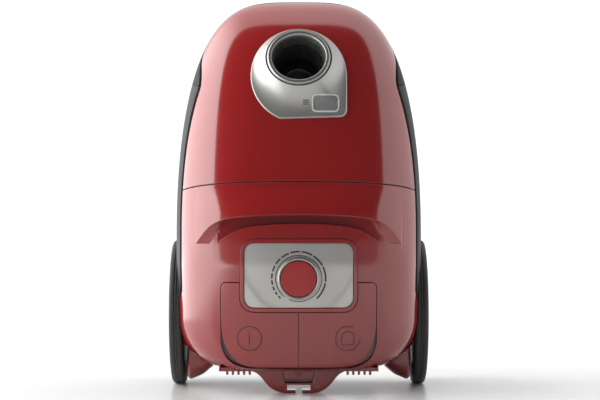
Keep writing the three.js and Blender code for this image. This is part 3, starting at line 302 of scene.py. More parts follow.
def back_depth(z, inset=0.0):
    full = (BACK_DEPTH - inset) * fall((z - 150) / (BODY_TOP - 150 - inset), 2.4, 2.4)
    return full - corner_loss(z, BODY_BOTTOM + inset, 30)


def hood_bulge(z):
    return HOOD_OUT * math.sin(min(1, max(0, (HOOD_TOP - z) / (HOOD_TOP - HOOD_LIP))) * math.pi / 2)


def face_y(x, z, inset=0.0):
    inside = max(0.0, 1 - (abs(x) / max(1e-6, half_width(z, inset))) ** 2.7)
    return -front_depth(z, inset) * inside ** (1 / 2.7)


def solid(name, verts, faces):
    mesh = bpy.data.meshes.new(name)
    mesh.from_pydata([(x / 1000, y / 1000, z / 1000) for x, y, z in verts], [], faces)
    shape = bmesh.new()
    shape.from_mesh(mesh)
    bmesh.ops.remove_doubles(shape, verts=shape.verts, dist=1e-7)
    bmesh.ops.recalc_face_normals(shape, faces=shape.faces)
    shape.to_mesh(mesh)
    shape.free()
    return link_piece(name, mesh)


def rings_to_solid(name, rings, capped=True):
    n = len(rings[0])
    faces = []
    for k in range(len(rings) - 1 if capped else len(rings)):
        a, b = k * n, (k + 1) % len(rings) * n
        faces += [(a + i, a + (i + 1) % n, b + (i + 1) % n, b + i) for i in range(n)]
    if capped:
        faces += [tuple(range(n))[::-1], tuple(range(len(rings) * n - n, len(rings) * n))]
    return solid(name, [p for ring in rings for p in ring], faces)


def body_form(inset=0.0, hood=False, sides=200, rows=150):
    rings = []
    bottom, top = BODY_BOTTOM + inset, BODY_TOP - inset
    for k in range(rows + 1):
        z = min(bottom + (top - bottom) * (1 - math.cos(math.pi * k / rows)) / 2, top - 0.02)
        ring = []
        for i in range(sides):
            a = i / sides * math.tau
            c, s = math.cos(a), math.sin(a)
            n = 2.7 if s < 0 else 3.6
            r = (abs(c) ** n + abs(s) ** n) ** (-1 / n)
            depth = front_depth(z, inset) + (hood_bulge(z) if hood else 0) if s < 0 else back_depth(z, inset)
            ring.append((r * half_width(z, inset) * c, r * depth * s, z))
        rings.append(ring)
    return rings_to_solid("form", rings)


def cut(target, tool, operation="DIFFERENCE", keep=False):
    modifier = target.modifiers.new("cut", "BOOLEAN")
    modifier.solver = "MANIFOLD"
    modifier.operation = operation
    modifier.object = tool
    depsgraph = bpy.context.evaluated_depsgraph_get()
    made = bpy.data.meshes.new_from_object(target.evaluated_get(depsgraph))
    target.modifiers.clear()
    old = target.data
    target.data = made
    bpy.data.meshes.remove(old)
    if not keep:
        bpy.data.objects.remove(tool)
    return target


def copy_of(piece):
    return link_piece(piece.name, piece.data.copy())


def slab(points, a, b, plane):
    order = {"side": (2, 0, 1), "front": (0, 2, 1), "top": (0, 1, 2)}[plane]
    return rings_to_solid("slab", [[tuple((u, v, w)[k] for k in order) for u, v in points] for w in (a, b)])


def block(x0, x1, y0, y1, z0, z1):
    return slab([(x0, y0), (x1, y0), (x1, y1), (x0, y1)], z0, z1, "top")


def turned(profile, way, at, segments=96, closed=False):
    axis = Vector(way).normalized()
    side = Vector((1, 0, 0)) if abs(axis.x) < 0.9 else Vector((0, 1, 0))
    other = axis.cross(side)
    centre = Vector(at)
    rings = []
    for r, h in profile:
        r = max(r, 1e-4)
        rings.append([tuple(centre + axis * h + side * (r * math.cos(t)) + other * (r * math.sin(t)))
                      for t in (i / segments * math.tau for i in range(segments))])
    return rings_to_solid("turned", rings, capped=not closed)


def bore(r, a, b, way, at, segments=96):
    return turned([(0, a), (r, a), (r, b), (0, b)], way, at, segments)


def softened(points, radius, closed=False, steps=5):
    out = []
    count = len(points)
    for i, p in enumerate(points):
        if not closed and i in (0, count - 1):
            out.append(tuple(p))
            continue
        here, before, after = Vector(p), Vector(points[i - 1]), Vector(points[(i + 1) % count])
        r = min(radius, (before - here).length * 0.45, (after - here).length * 0.45)
        start, end = here + (before - here).normalized() * r, here + (after - here).normalized() * r
        for k in range(steps + 1):
            t = k / steps
            out.append(tuple(start * (1 - t) ** 2 + here * 2 * t * (1 - t) + end * t * t))
    return out


def rounded(x0, x1, z0, z1, r, steps=10):
    out = []
    for cx, cz, a in ((x1 - r, z0 + r, -90), (x1 - r, z1 - r, 0), (x0 + r, z1 - r, 90), (x0 + r, z0 + r, 180)):
        for k in range(steps + 1):
            t = math.radians(a + 90 * k / steps)
            out.append((cx + r * math.cos(t), cz + r * math.sin(t)))
    return out


def bezier(a, b, c, d, steps=14):
    a, b, c, d = (Vector(p) for p in (a, b, c, d))
    out = []
    for k in range(1, steps + 1):
        t = k / steps
        out.append(tuple(a * (1 - t) ** 3 + b * 3 * t * (1 - t) ** 2 + c * 3 * t * t * (1 - t) + d * t ** 3))
    return out


def smooth_line(points, steps=14):
    ends = [points[0], *points, points[-1]]
    out = [points[0]]
    for i in range(1, len(ends) - 2):
        p0, p1, p2, p3 = (Vector(p) for p in ends[i - 1:i + 3])
        for k in range(1, steps + 1):
            t = k / steps
            out.append(tuple(((p1 * 2) + (p2 - p0) * t + (p0 * 2 - p1 * 5 + p2 * 4 - p3) * t * t
                              + (p1 * 3 - p0 - p2 * 3 + p3) * t ** 3) / 2))
    return out


def mirrored(right):
    return smooth_line(right + [(-x, z) for x, z in right[-2::-1]])


def flip(piece):
    for v in piece.data.vertices:
        v.co.x = -v.co.x
    piece.data.flip_normals()
    return piece


def both_sides(piece):
    return cut(piece, flip(copy_of(piece)), "UNION")


def show(piece, name, slot, body, *nodes, look=None, angle=32):
    piece.name = piece.data.name = name
    piece.data.materials.clear()
    piece.data.materials.append(look or LOOKS[slot])
    for polygon in piece.data.polygons:
        polygon.use_smooth = True
    piece.data.set_sharp_from_angle(angle=math.radians(angle))
    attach(piece, body)
    if nodes:
        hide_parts(*nodes)
    return piece


def bevelled(piece, width, segments=3, angle=30):
    modifier = piece.modifiers.new("edge", "BEVEL")
    modifier.width = width / 1000
    modifier.segments = segments
    modifier.limit_method = "ANGLE"
    modifier.angle_limit = math.radians(angle)
    modifier.use_clamp_overlap = True
    depsgraph = bpy.context.evaluated_depsgraph_get()
    made = bpy.data.meshes.new_from_object(piece.evaluated_get(depsgraph))
    piece.modifiers.clear()
    piece.data = made
    return piece


def seam_z(y):
    return 232.8 - 0.172 * (y + 105)


def smoothstep(x, a, b):
    t = min(1, max(0, (x - a) / (b - a)))
    return t * t * (3 - 2 * t)


def flank_y(z):
    return -50 + 42 * smoothstep(z, 336, 400) + 30 * (1 - smoothstep(z, 84, 112))


def flank_line(z0, z1, shift):
    steps = 60
    return [(flank_y(z0 + (z1 - z0) * k / steps) + shift, z0 + (z1 - z0) * k / steps) for k in range(steps + 1)]


outer = body_form()
hollow = body_form(SHELL)
skin = cut(copy_of(outer), hollow, keep=True)


ACROSS, FORWARD, UPWARD = (1, 0, 0), (0, -1, 0), (0, 0, 1)
WHEEL_AT = (0, 38, 83)
WELL_R, WELL_FACE = 86.4, 128.4


def wheel_wells(r=WELL_R, face=WELL_FACE):
    return both_sides(bore(r, face, FAR, ACROSS, WHEEL_AT))


# ---- Lower shell and side panels ----
# A black textured polypropylene tub carries the motor, the reel and the axles.
# A thin gloss grey skin is let into each flank, held by clips behind it.


def panel_outline(grow):
    return flank_line(118 - grow, 340 + grow, 0.4 - grow * 3) + [(22 + grow, 352 + grow), (48 + grow, 300),
                                                               (48 + grow, 118 - grow)]


GAP = 0.4
CASTER_Z = 352
CABLE_AT = (78, 30, 0)
SCREW_X, SCREW_ROWS = 104, (194, 62)
tub_zone = slab([(FAR, -20), (flank_y(0) + GAP, -20), *flank_line(BODY_BOTTOM, BODY_TOP, GAP), (-7.6, 448),
                 (FAR, 448)], -FAR, FAR, "side")
tub = cut(cut(copy_of(outer), tub_zone, "INTERSECT"), hollow, keep=True)
pocket = both_sides(cut(cut(slab(panel_outline(GAP), 60, FAR, "side"), wheel_wells(90, 60)), body_form(2.8)))
tub = cut(tub, pocket)
tub = cut(tub, wheel_wells())
well_wall = cut(cut(copy_of(outer), wheel_wells(WELL_R + SHELL, WELL_FACE - SHELL), "INTERSECT"), wheel_wells())
well_zone = slab([(FAR, -20), (flank_y(0) + GAP, -20), *flank_line(BODY_BOTTOM, 200, GAP), (FAR, 200)],
                 -FAR, FAR, "side")
tub = cut(tub, cut(well_wall, well_zone, "INTERSECT"), "UNION")
boss = turned(softened([(0, -56), (21, -56), (21, -76.6), (0, -76.6)], 1.2), FORWARD, (0, 0, CASTER_Z))
tub = cut(cut(tub, boss, "UNION"), bore(6 + GAP, -FAR, 0, FORWARD, (0, 0, CASTER_Z)))
tub = cut(tub, block(-17, 17, 62, 83.4, 232, 268), "UNION")
tub = cut(tub, block(-12, 12, 72, FAR, 236, 275))
tub = cut(tub, bore(9 + GAP, 0, 60, UPWARD, CABLE_AT))
tub = cut(tub, block(-88 - GAP, 88 + GAP, -72, 12 + GAP, 0, 38))
tub = cut(tub, block(-15 - GAP, 15 + GAP, 6 - GAP, 18 + GAP, 418, 600))
for z in SCREW_ROWS:
    for x in (-SCREW_X, SCREW_X):
        tub = cut(tub, bore(4.8, -FAR, -72, FORWARD, (x, 0, z)))
show(tub, "tub", "black_plastic", "body", "lower_shell")

for side, name in ((-1, "left"), (1, "right")):
    panel = cut(slab(panel_outline(0), 60, FAR, "side"), wheel_wells(90 + GAP, 60))
    panel = cut(cut(panel, outer, "INTERSECT", keep=True), body_form(2.4))
    if side < 0:
        flip(panel)
    show(panel, "flank_" + name, "gloss_grey", "body", "side_panel_" + name)

# ---- Rear shell with the carry hood ----
# Gloss red ABS, screwed on from the underside. A visor-like hood stands out below the lid as the carry grip,
# with a sloped underside and a finger recess behind its lip.
LIP = [(113, 165), (97, 184), (78, 192.4), (44, 196), (0, 197)]
LIP_IN = [(92.5, 165), (83, 181), (71, 190.4), (44, 194.2), (0, 195.4)]
lip, lip_in = mirrored(LIP), mirrored(LIP_IN)
hood_rings = []
for (xo, zo), (xi, zi) in zip(lip, lip_in):
    ring = [(xo * 0.96, face_y(xo, 231) + 9, 231), (xo, face_y(xo, 229.5) + 0.4, 229.5)]
    for k in range(25):
        z = 227.5 + (zo + 0.1 - 227.5) * k / 24
        w = half_width(z)
        out = hood_bulge(z) * (1 - 0.4 * (xo / 113) ** 2)
        grown = -(front_depth(z) + out) * max(0, 1 - (abs(xo) / w) ** 2.7) ** (1 / 2.7)
        ring.append((xo, grown, z))
    deep = face_y(xi, zi)
    ring += [(xi, deep + 1.5, zi), (xi, deep + 9, zi)]
    hood_rings.append(ring)
hood = rings_to_solid("hood", hood_rings)
shell = cut(copy_of(outer), hood, "UNION")
rear_zone = slab([(-FAR, 0), (flank_y(0), 0), *flank_line(BODY_BOTTOM, seam_z(-50) - 0.8, 0),
                  (-FAR, seam_z(-FAR) - 0.8)], -FAR, FAR, "side")
shell = cut(shell, rear_zone, "INTERSECT")
inside = copy_of(hollow)
for x, y, z0, z1 in ((98.2, -73.4, 0, 129), (98.2, -92.4, 162.4, 209.6), (66.3, -73.4, 0, 173.4)):
    inside = cut(inside, block(-x, x, -FAR, y, z0, z1))
shell = cut(shell, cut(inside, wheel_wells(WELL_R + SHELL, WELL_FACE - SHELL)))


def mouth(lift):
    sill = mirrored([(91.6, 165), (66, 181), (34, 186.3), (0, 187.5)])
    return [(x, z + lift) for x, z in lip_in] + sill[::-1]


shell = cut(shell, slab(mouth(0.02), -FAR, -95, "front"))
shell = cut(shell, cut(slab(mouth(10), -FAR, -95, "front"), body_form(4, hood=True), "INTERSECT"))
bay = [(-48, 28.6), (48, 28.6), *bezier((48, 28.6), (70, 28.6), (85.4, 38), (85.4, 62)), (85.4, 115.9),
       *bezier((85.4, 115.9), (85.4, 121), (82.5, 123.9), (77.4, 123.9), 8)]
bay += [(-x, z) for x, z in bay[:1:-1]]
shell = cut(shell, slab(bay, -FAR, -76, "front"))
PLATE = (-59.5, 59.5, 95.8, 166.6, 11)


def plate_outline(grow):
    return rounded(PLATE[0] - grow, PLATE[1] + grow, PLATE[2] - grow, PLATE[3] + grow, PLATE[4] + grow)


shell = cut(shell, slab(plate_outline(4.6), -FAR, -76, "front"))
shell = cut(shell, wheel_wells())
HINGE_AT = (0, -95.5, 240)
SWING_HALF_W, SEAM_Z = 85.5, 232.8
swing = [(0, -SWING_HALF_W)]
for k in range(-20, 21):
    x = k * SWING_HALF_W / 20
    y = face_y(x, SEAM_Z)
    swing.append((math.hypot(y - HINGE_AT[1], seam_z(y) - HINGE_AT[2]) + 0.2, x))
shell = cut(shell, turned(swing + [(0, SWING_HALF_W)], ACROSS, HINGE_AT))
shell = cut(shell, block(-88.4, 88.4, -72.4, 0, 0, 30))
rebate = cut(slab([*flank_line(30, BODY_TOP, -5), (-13, 448), (20, 448), (20, 30)], -FAR, FAR, "side"),
             body_form(1.6))
shell = cut(shell, rebate, keep=True)
show(shell, "carry_shell", "gloss_red", "body", "rear_shell")

# ---- Control plate, scale and knob ----
# A brushed metal plate in a raised red rim, with a printed suction scale round a turning knob.
# The knob is a satin silver ring with a matt red disc snapped into it.
KNOB_Z = 128
KNOB_AT = (0, -108, KNOB_Z)
rim = cut(body_form(-1.6, rows=120), slab(plate_outline(4.2), -FAR, -76.4, "front"), "INTERSECT")
rim = cut(rim, cut(slab(plate_outline(0.15), -FAR, 0, "front"), body_form(1.4)))
rim = cut(rim, slab(plate_outline(1.6), -102, 0, "front"))
rim = cut(rim, bore(4 + GAP, 60, FAR, FORWARD, (0, 0, KNOB_Z)))
show(rim, "plate_rim", "gloss_red", "body", "control_bezel")

plate = cut(body_form(-0.4), slab(plate_outline(-0.5), -FAR, 0, "front"), "INTERSECT")
plate = cut(cut(plate, body_form(1)), bore(4 + GAP, 60, FAR, FORWARD, (0, 0, KNOB_Z)))
show(plate, "face_plate", "brushed_plate", "body", "control_plate")


def arc_band(cx, cz, r0, r1, a0, a1):
    steps = max(2, int(abs(a1 - a0) / 4))
    angles = [math.radians(a0 + (a1 - a0) * k / steps) for k in range(steps + 1)]
    return [(cx + r1 * math.cos(a), cz + r1 * math.sin(a)) for a in angles] + \
           [(cx + r0 * math.cos(a), cz + r0 * math.sin(a)) for a in angles[::-1]]


def dot(cx, cz, r):
    return [(cx + r * math.cos(k * math.tau / 12), cz + r * math.sin(k * math.tau / 12)) for k in range(12)]


def printed(outlines, raised):
    tool = None
    for points in outlines:
        mark = slab(points, -FAR, 0, "front")
        tool = mark if tool is None else cut(tool, mark, "UNION")
    return cut(cut(body_form(-raised), tool, "INTERSECT"), body_form(-raised + 0.15))


marks = []
angle, length = -48.0, 38.0
while angle < 226:
    marks.append(arc_band(0, KNOB_Z, 28.3, 30.1, angle, angle + length))
    angle += length + max(3.0, 4.4 - length * 0.05)
    length = max(1.6, length * 0.86)
scale = printed(marks, 0.5)
show(scale, "suction_scale", "black_plastic", "body", look=ink_dark)
halo = printed([arc_band(0, KNOB_Z, 24.6, 25.5, -115, 232)], 0.5)
show(halo, "knob_halo", "knob_red", "body", look=ink_wine)

ring = turned(softened([(0, -14), (4, -14), (4, 0.9), (23.3, 0.9), (23.0, 7.4), (21.8, 9), (20.2, 8.5), (19.95, 3),
                        (0, 3)], 0.9), FORWARD, KNOB_AT, 128)
show(ring, "knob_body", "satin_silver", "knob", "knob_ring")
cap = turned(softened([(0, 3.4), (19.6, 3.4), (19.6, 7.6), (18.6, 8.3), (12, 8.7), (0, 8.9)], 0.8), FORWARD,
             KNOB_AT, 128)
show(cap, "knob_disc", "knob_red", "knob", "knob_cap")

# ---- Pedals ----
# Two red L-shaped foot pedals wrap the lower corners of the plate, flush with the shell.
# The left one switches the motor, the right one frees the cord reel; each has its symbol moulded in.
PEDALS = {"left": -1, "right": 1}
for name, side in PEDALS.items():
    outline = [(0.6, 30.6), (48, 30.6), *bezier((48, 30.6), (68, 31.6), (84.5, 46), (84.5, 82)), (84.5, 116),
               *bezier((84.5, 116), (84.5, 120.5), (82, 123), (77.5, 123), 8), (64.5, 123),
               *[(48.5 + 16 * math.cos(a), 106.8 - 16 * math.sin(a)) for a in (k * math.pi / 24 for k in range(13))],
               (0.6, 90.8)]
    pedal = cut(cut(copy_of(outer), body_form(4)), slab([(side * x, z) for x, z in outline], -FAR, -81.5, "front"),
                "INTERSECT")
    stub = turned(softened([(0, 80.4), (2.2, 80.4), (2.2, 86.6), (0, 86.6)], 0.4), (side, 0, 0), (0, -88, 114), 32)
    pedal = cut(pedal, stub, "UNION")
    lug = cut(block(*sorted((side * 80.4, side * 84.2)), -97, -86, 111, 117), body_form(1), "INTERSECT")
    show(cut(pedal, lug, "UNION"), "foot_pedal_" + name, "gloss_red", "pedal_" + name, "pedal_" + name)

CX, CZ = 53.5, 62.4


def strip(x0, x1, z0, z1):
    return [(CX + x0, CZ + z0), (CX + x1, CZ + z0), (CX + x1, CZ + z1), (CX + x0, CZ + z1)]


symbols = {
    "left": [arc_band(-CX, CZ, 12.8, 13.7, 0, 359), [(x - 2 * CX, z) for x, z in strip(-0.45, 0.45, -7, 7)]],
    "right": [arc_band(CX, CZ, 12.8, 13.7, 62, 355), arc_band(CX, CZ + 1, 6.2, 7.1, 0, 180),
              strip(-7.1, -6.2, -5, 1.02), strip(6.2, 7.1, -5, 1.02),
              *[strip(x - 1.9, x + 1.9, -7.2, -6.3) for x in (-5.2, 0, 5.2)],
              dot(CX - 3, CZ - 9.4, 0.7), dot(CX + 3, CZ - 9.4, 0.7)],
}
for name, outlines in symbols.items():
    show(printed(outlines, 0.1), "symbol_" + name, "gloss_red", "pedal_" + name, look=ink_wine)

# ---- Lid ----
# One gloss red cover from the nose to the seam, hinged behind the seam and latched in the nose.
# Two pairs of lugs inside carry its steel pins; its lower corners are rounded about the hinge.
INLET_WAY = (0, -math.cos(math.radians(28.6)), math.sin(math.radians(28.6)))
INLET_AT = (0, -84, 366.6)


def inlet_tool(r):
    return bore(r, -60, 60, INLET_WAY, INLET_AT, 128)


lid_zone = slab([(-FAR, seam_z(-FAR) + 0.5), *flank_line(seam_z(-50) + 0.5, BODY_TOP, 0), (-8, 448), (-FAR, 448)],
                -FAR, FAR, "side")
lid = cut(cut(skin, lid_zone, "INTERSECT"), inlet_tool(36))
lid = cut(lid, slab(rounded(14.5, 43.9, 309, 328, 5), -FAR, -60, "front"))
lid = cut(lid, rebate)
heel = cut(block(-FAR, FAR, -62, -38, 0, 240), bore(45.5, -FAR, FAR, ACROSS, HINGE_AT, 200))
lid = cut(lid, heel)
for x in (-50.2, -39.8, 39.8, 50.2):
    ear = [(-98.5, 236.6), (-92.1, 236.6), (-91.3, 242), (-97.5, 256), (-103.5, 258), (-103.5, 244)]
    lug = slab(softened(ear, 1.5, closed=True), x - 2, x + 2, "side")
    lug = cut(lug, bore(2.8, x - 4, x + 4, ACROSS, HINGE_AT, 32))
    lid = cut(lid, cut(lug, body_form(1.2), "INTERSECT"), "UNION")
lid = cut(lid, cut(block(-8, 8, -14, -10, 425, 436), body_form(0.5), "INTERSECT"), "UNION")
show(lid, "top_cover", "gloss_red", "lid", "lid")

# Painted shade: a strip in the near-black soft rubber look sits just inside the shell behind the front part of the
# seam. It makes the seam gap read dark, standing in for the shade inside the gap.
seam_shade_zone = slab([(-FAR, seam_z(-FAR) - 2.2), (-52, seam_z(-52) - 2.2), (-52, seam_z(-52) + 5),
                  (-FAR, seam_z(-FAR) + 5)], -FAR, FAR, "side")
seam_shade_strip = cut(cut(body_form(2.7), body_form(4.2)), seam_shade_zone, "INTERSECT")
show(seam_shade_strip, "painted_seam_shade", "soft_rubber", "lid")

button = cut(block(-15, 15, 6, 18, 420, 438.95), body_form(-0.35), "INTERSECT")
button = cut(bevelled(button, 0.8), block(-5, 5, -13.5, 7, 420, 423.4), "UNION")
show(button, "nose_button", "black_plastic", "latch", "lid_latch")

# ---- Hose inlet ----
# A satin silver drop-shaped surround flows up to the tilted socket ring. Inside sit the stepped black sleeve
# and its rubber seal. The bag indicator shows through a clear window in the surround's lower corner.
RINGS, SPOKES = 26, 160
DROP_R, DROP_Z, SPOKE_Z = 53, 350, 364
start = math.pi + math.asin(49 / DROP_R)
corner = bezier((44, 303), (50, 303), (DROP_R, 306), (DROP_R, 312), 10)
outline = [(DROP_R * math.cos(start), 301.0), (44, 303), *corner, (DROP_R, DROP_Z)]
outline += [(DROP_R * math.cos(t * start / 60), DROP_Z + DROP_R * math.sin(t * start / 60)) for t in range(1, 60)]


def reach(angle):
    way, centre = Vector((math.cos(angle), math.sin(angle))), Vector((0, SPOKE_Z))
    best = 0.0
    for i, p in enumerate(outline):
        a, b = Vector(p) - centre, Vector(outline[(i + 1) % len(outline)]) - centre
        step = b - a
        bottom = way.x * step.y - way.y * step.x
        if abs(bottom) > 1e-9:
            t, u = (a.x * step.y - a.y * step.x) / bottom, (a.x * way.y - a.y * way.x) / bottom
            if t > 0 and -1e-6 <= u <= 1 + 1e-6:
                best = max(best, t)
    return centre + way * best


surround_rings = [[] for _ in range(RINGS + 5)]
axis = Vector(INLET_WAY)
up = Vector((1, 0, 0)).cross(axis) * -1
for j in range(SPOKES):
    a = j / SPOKES * math.tau
    lip_at = Vector(INLET_AT) + axis * 5 + (Vector((1, 0, 0)) * math.cos(a) + up * math.sin(a)) * 36.4
    edge = reach(math.atan2(lip_at.z - SPOKE_Z, lip_at.x))
    rise = max(0.5, face_y(lip_at.x, lip_at.z) - lip_at.y)
    surround_rings[0].append((edge.x, face_y(edge.x, edge.y) - 0.1, edge.y))
    for k in range(RINGS + 1):
        s = (k / RINGS) ** 1.6
        x, z = edge.x + (lip_at.x - edge.x) * s, edge.y + (lip_at.z - edge.y) * s
        low = min(3.0, rise) * math.sqrt(1 - (1 - min(1, (s + 0.002) / 0.05)) ** 2)
        lift = low + (rise - min(3.0, rise)) * s ** (1.3 + 0.9 * smoothstep(SPOKE_Z - lip_at.z, -15, 30))
        surround_rings[k + 1].append((x, face_y(x, z) - lift, z))
    inner = lip_at - axis * 1.0 - (lip_at - Vector(INLET_AT) - axis * 5).normalized() * 0.3
    surround_rings[RINGS + 2].append(tuple(inner))
    low = inner - axis * 9
    surround_rings[RINGS + 3].append(tuple(low))
    surround_rings[RINGS + 4].append((low.x * 1.06, low.y + 1, low.z))
surround = rings_to_solid("surround", surround_rings, capped=False)
blank = copy_of(surround)
surround = cut(surround, slab(rounded(15.1, 43.3, 309.6, 327.4, 4.4), -FAR, -40, "front"))
show(surround, "socket_surround", "satin_silver", "lid", "inlet_surround", angle=40)

socket = turned(softened([(27.5, -14), (35.6, -14), (35.6, 4), (34.4, 7), (32.6, 8.2), (30.2, 7.8), (28.6, 5.2),
                          (27.5, 2.2)], 1.6, closed=True, steps=6), INLET_WAY, INLET_AT, 160, closed=True)
show(socket, "socket_ring", "satin_silver", "lid", "inlet_ring", look=ring_metal)
steps = [(21, -46), (23.6, -46), (23.6, -18), (33.6, -18), (33.6, -14.4), (26.8, -14.4), (26.2, -17.2), (24.6, -17.4),
         (24.2, -20), (22.6, -20.2), (22.2, -26), (21.4, -26.2)]
sleeve = turned(softened(steps, 0.5, closed=True, steps=3), INLET_WAY, INLET_AT, 128, closed=True)
show(sleeve, "socket_sleeve", "black_plastic", "lid", "inlet_sleeve")



def window_layer(out, deep, outline):
    front, back = copy_of(blank), copy_of(blank)
    for v in front.data.vertices:
        v.co.y -= out / 1000
    for v in back.data.vertices:
        v.co.y -= deep / 1000
    return cut(cut(front, back), slab(outline, -FAR, -60, "front"), "INTERSECT")


lens = window_layer(0.5, -0.9, rounded(15.6, 42.8, 310.1, 326.9, 3.9))
show(lens, "window_lens", "clear_lens", "lid", "indicator_lens")
frame_band = cut(window_layer(0.8, -1.2, rounded(14.2, 44.2, 308.7, 328.3, 5.3)),
                 slab(rounded(15.7, 42.7, 310.2, 326.8, 3.8), -FAR, -60, "front"))
show(bevelled(frame_band, 0.3, 2, 50), "window_frame", "satin_silver", "lid", look=window_pale)
bars = [p for z in (316.8, 318.9, 321.0) for p in ((4.6, z), (11.2, z), (11.2, z + 1.1), (4.6, z + 1.1))]
reach_tree = BVHTree.FromPolygons([v.co.copy() for v in surround.data.vertices],
                                  [tuple(p.vertices) for p in surround.data.polygons])
corners = []
for x, z in bars:
    hit = reach_tree.ray_cast(Vector((x / 1000, -0.3, z / 1000)), Vector((0, 1, 0)))[0]
    corners.append((x, hit.y * 1000 - 0.06, z))
faces = [(k, k + 1, k + 2, k + 3) for k in range(0, 12, 4)]
show(solid("bars", corners, faces), "full_mark", "satin_silver", "lid", look=ink_dark)
ribs = None
for k in range(9):
    bar = block(18.4 + k * 2.7, 19.3 + k * 2.7, -FAR, -60, 312.4, 324.6)
    ribs = bar if ribs is None else cut(ribs, bar, "UNION")
plain = window_layer(-2.0, -2.8, rounded(15.3, 43.1, 309.8, 327.2, 4.2))
ribs = cut(cut(window_layer(-1.2, -2.4, rounded(17, 41.4, 312.4, 324.6, 1)), ribs, "INTERSECT"), plain, "UNION")
show(ribs, "window_ribs", "clear_lens", "lid", look=LOOKS["inner_grey"])
bpy.data.objects.remove(blank)

# ---- Exhaust cover and tail ----
# The red rear grille hinges at its back edge. Its moulded tail is the foot that the cleaner stands on and
# holds the slot for the floor tool; the small trapezoid latch opens it. A pleated filter sits behind it.
cover = block(-88, 88, -72, 12, 24, 28.4)
foot = [(14, 0), *bezier((14, 0), (30, 1), (34, 9), (38, 13)), *bezier((38, 13), (43, 20), (47, 24), (56, 25))]
tail = [(-3.5, 0), (-3.5, 2.7), (-12.7, 2.7), (-12.7, 9), (12.7, 9), (12.7, 2.7), (3.5, 2.7), (3.5, 0), *foot,
        (-56, 25), *bezier((-56, 25), (-47, 24), (-43, 20), (-38, 13)),
        *bezier((-38, 13), (-34, 9), (-30, 1), (-14, 0))[:-1], (-14, 0)]
cover = cut(cover, bevelled(slab(tail, -72, -50, "front"), 0.8, 2), "UNION")
for side in (-1, 1):
    for k in range(5):
        x = side * (54 + k * 6.2)
        rib = slab(softened([(x - 1.5, 28), (x - 1.4, 20.6), (x - 0.7, 20), (x + 0.7, 20), (x + 1.4, 20.6),
                             (x + 1.5, 28)], 0.5, closed=True), -72, 4, "front")
        cover = cut(cover, rib, "UNION")
        if k < 4:
            cover = cut(cover, block(x + side * 3.1 - 1.6, x + side * 3.1 + 1.6, -67, 2, 0, 50))
cover = cut(cover, slab([(-15.9, 11.2), (15.9, 11.2), (19.15, 28.4), (-19.15, 28.4)], -FAR, -63, "front"))
show(cover, "vent_cover", "gloss_red", "cover", "exhaust_cover")
latch = slab(softened([(-15.5, 14.6), (15.5, 14.6), (18, 28), (-18, 28)], 2.0, closed=True), -72, -63.4, "front")
arrow = cut(slab([(-4.6, 22.5), (4.6, 22.5), (0, 18.2)], -80, -71.5, "front"),
            slab([(-3.1, 21.9), (3.1, 21.9), (0, 19.1)], -90, -60, "front"))
latch = cut(bevelled(latch, 0.6), arrow)
show(latch, "vent_latch", "gloss_red", "cover_latch", "cover_latch")

pleats = []
for k in range(28 * 6 + 1):
    u = k / 6
    fold = abs((u % 2) - 1)
    pleats.append((-80 + 160 * k / (28 * 6), 48 + 7 * (fold * fold * (3 - 2 * fold))))
filter_pack = slab(pleats + [(80, 36), (-80, 36)], -66, 6, "front")
show(filter_pack, "pleated_filter", "filter_paper", "body", "exhaust_filter", angle=60)

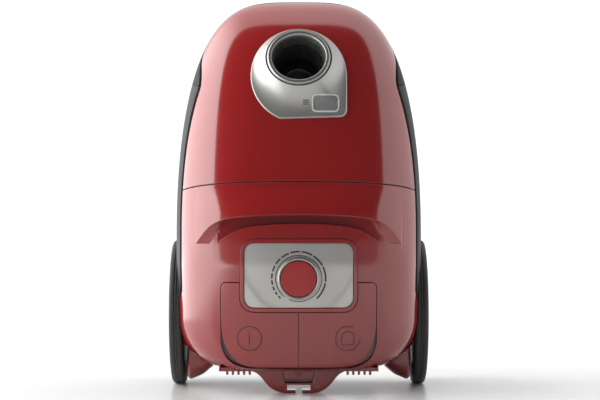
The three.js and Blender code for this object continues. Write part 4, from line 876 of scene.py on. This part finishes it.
# ---- Wheels, fairings and caster ----
# Big black wheels with a soft tread on dished hubs. A red fairing closes the gap beside each wheel.
# Under the nose a small twin-cheek caster turns in a boss of the tub.
for name, side in PEDALS.items():
    way, at = (side, 0, 0), WHEEL_AT
    tread = [(62, 130.4), (76, 130.4), (80.2, 130.7), (82.4, 132.2), (83, 134.6), (83, 136.2), (82.4, 136.5),
             (82.4, 137.3), (83, 137.6), (83, 138.8), (82.4, 139.1), (82.4, 139.9), (83, 140.2), (83, 142),
             (82.4, 144.2), (80.2, 145.7), (76, 146), (62, 146)]
    tyre = turned(softened(tread, 0.7, closed=True, steps=3), way, at, 192, closed=True)
    show(tyre, "tread_" + name, "tyre_rubber", "wheel_" + name, "tyre_" + name)
    dish = [(5.4, 131.4), (30, 131.4), (61.6, 132.4), (61.6, 145), (58, 146.6), (54, 146.2), (50, 143.4), (26, 142.4),
            (22, 145.6), (19.6, 147.8), (19, 147), (19, 144.8), (5.4, 144.8)]
    hub = turned(softened(dish, 1.2, closed=True, steps=4), way, at, 128, closed=True)
    for k in range(9):
        a = math.radians(20 + 40 * k)
        y0, z0 = 38 + 23 * math.cos(a), 83 + 23 * math.sin(a)
        y1, z1 = 38 + 53 * math.cos(a), 83 + 53 * math.sin(a)
        ny, nz = -math.sin(a), math.cos(a)
        spoke = slab([(y0 - ny * 3.4, z0 - nz * 3.4), (y1 - ny * 2.2, z1 - nz * 2.2), (y1 + ny * 2.2, z1 + nz * 2.2),
                      (y0 + ny * 3.4, z0 + nz * 3.4)], *sorted((side * 140, side * 145.2)), "side")
        hub = cut(hub, bevelled(spoke, 0.9, 2), "UNION")
    show(hub, "hub_" + name, "black_plastic", "wheel_" + name, "wheel_hub_" + name)
    dome = [(0, 145.2), (18.6, 145.2), (18.6, 148.4), (16.5, 149.4), (9, 149.9), (0, 150)]
    cup = turned(softened(dome, 1.0), way, at, 96)
    show(cup, "hub_cap_" + name, "gloss_grey", "wheel_" + name, "wheel_cap_" + name)
    points = [(-127, 62), (-96, 46), (-96, 24), (-101, 20.3), (-109, 13.5), (-123.5, 7.8), (-126.8, 11)]
    points = softened(points, 5, closed=True)
    nose = [(-24, 0.62), (-23, 0.72), (-20, 0.82), (-14, 0.92), (-4, 0.985), (8, 1), (50, 1), (54, 0.96)]
    skirt = rings_to_solid("skirt", [[(side * (112 + (-x - 112) * (0.5 + 0.5 * k)), y, 50 + (z - 50) * k)
                                      for x, z in points] for y, k in nose])
    skirt = cut(skirt, body_form(-0.4))
    skirt = cut(skirt, bore(8, -FAR, FAR, ACROSS, WHEEL_AT))
    show(skirt, "skirt_" + name, "gloss_red", "body", "fairing_" + name)

roller = [(2.6, -9), (12.6, -9), (13, -8.2), (15, -8.2), (17, -6), (17, -1), (16.5, -0.6), (16.5, 0.6), (17, 1),
          (17, 6), (15, 8.2), (13, 8.2), (12.6, 9), (2.6, 9)]
caster_tyre = turned(softened(roller, 0.8, closed=True, steps=3), ACROSS, (0, 104, CASTER_Z - 12), 96, closed=True)
show(caster_tyre, "caster_roller", "soft_rubber", "caster_wheel", "caster_wheel")

# ---- Dust bag and foam filter ----
# The bag is non-woven cloth glued to its card collar; it fills the chamber loosely and creases at its gussets.
# The motor filter is a slab of open foam under its grille.
chamber = slab([(-45, 247), (-43, 290), (-23, 318), (14, 385), (65, 385), (65, 247)], -FAR, FAR, "side")
bag = cut(body_form(21, sides=96, rows=70), chamber, "INTERSECT")
modifier = bag.modifiers.new("remesh", "REMESH")
modifier.mode = "VOXEL"
modifier.voxel_size = 0.004
smooth = bag.modifiers.new("smooth", "SMOOTH")
smooth.iterations = 14
bag_mesh = bpy.data.meshes.new_from_object(bag.evaluated_get(bpy.context.evaluated_depsgraph_get()))
bag.modifiers.clear()
bag.data = bag_mesh
BAG_Y, BAG_Z = 18, 312
for v in bag.data.vertices:
    p = v.co * 1000
    gusset = math.exp(-((p.y - BAG_Y) / 9) ** 2) * (1 if abs(p.x) > 40 else 0) * 5
    crease = abs(noise.noise(Vector((p.x * 0.035, p.y * 0.02, p.z * 0.03)))) * 5
    crease += abs(noise.noise(Vector((p.x * 0.09, p.y * 0.05, p.z * 0.11)))) * 1.6
    inward = Vector((-p.x, BAG_Y - p.y, BAG_Z - p.z)).normalized()
    v.co += inward * (gusset + crease) / 1000
show(bag, "cloth_bag", "bag_cloth", "body", "dust_bag", angle=80)
foam = bevelled(block(-107, -13, -41, 49, 217.4, 229.4), 1.6, 3)
show(foam, "foam_slab", "foam", "body", "foam_filter")

bpy.data.objects.remove(outer)
bpy.data.objects.remove(hollow)
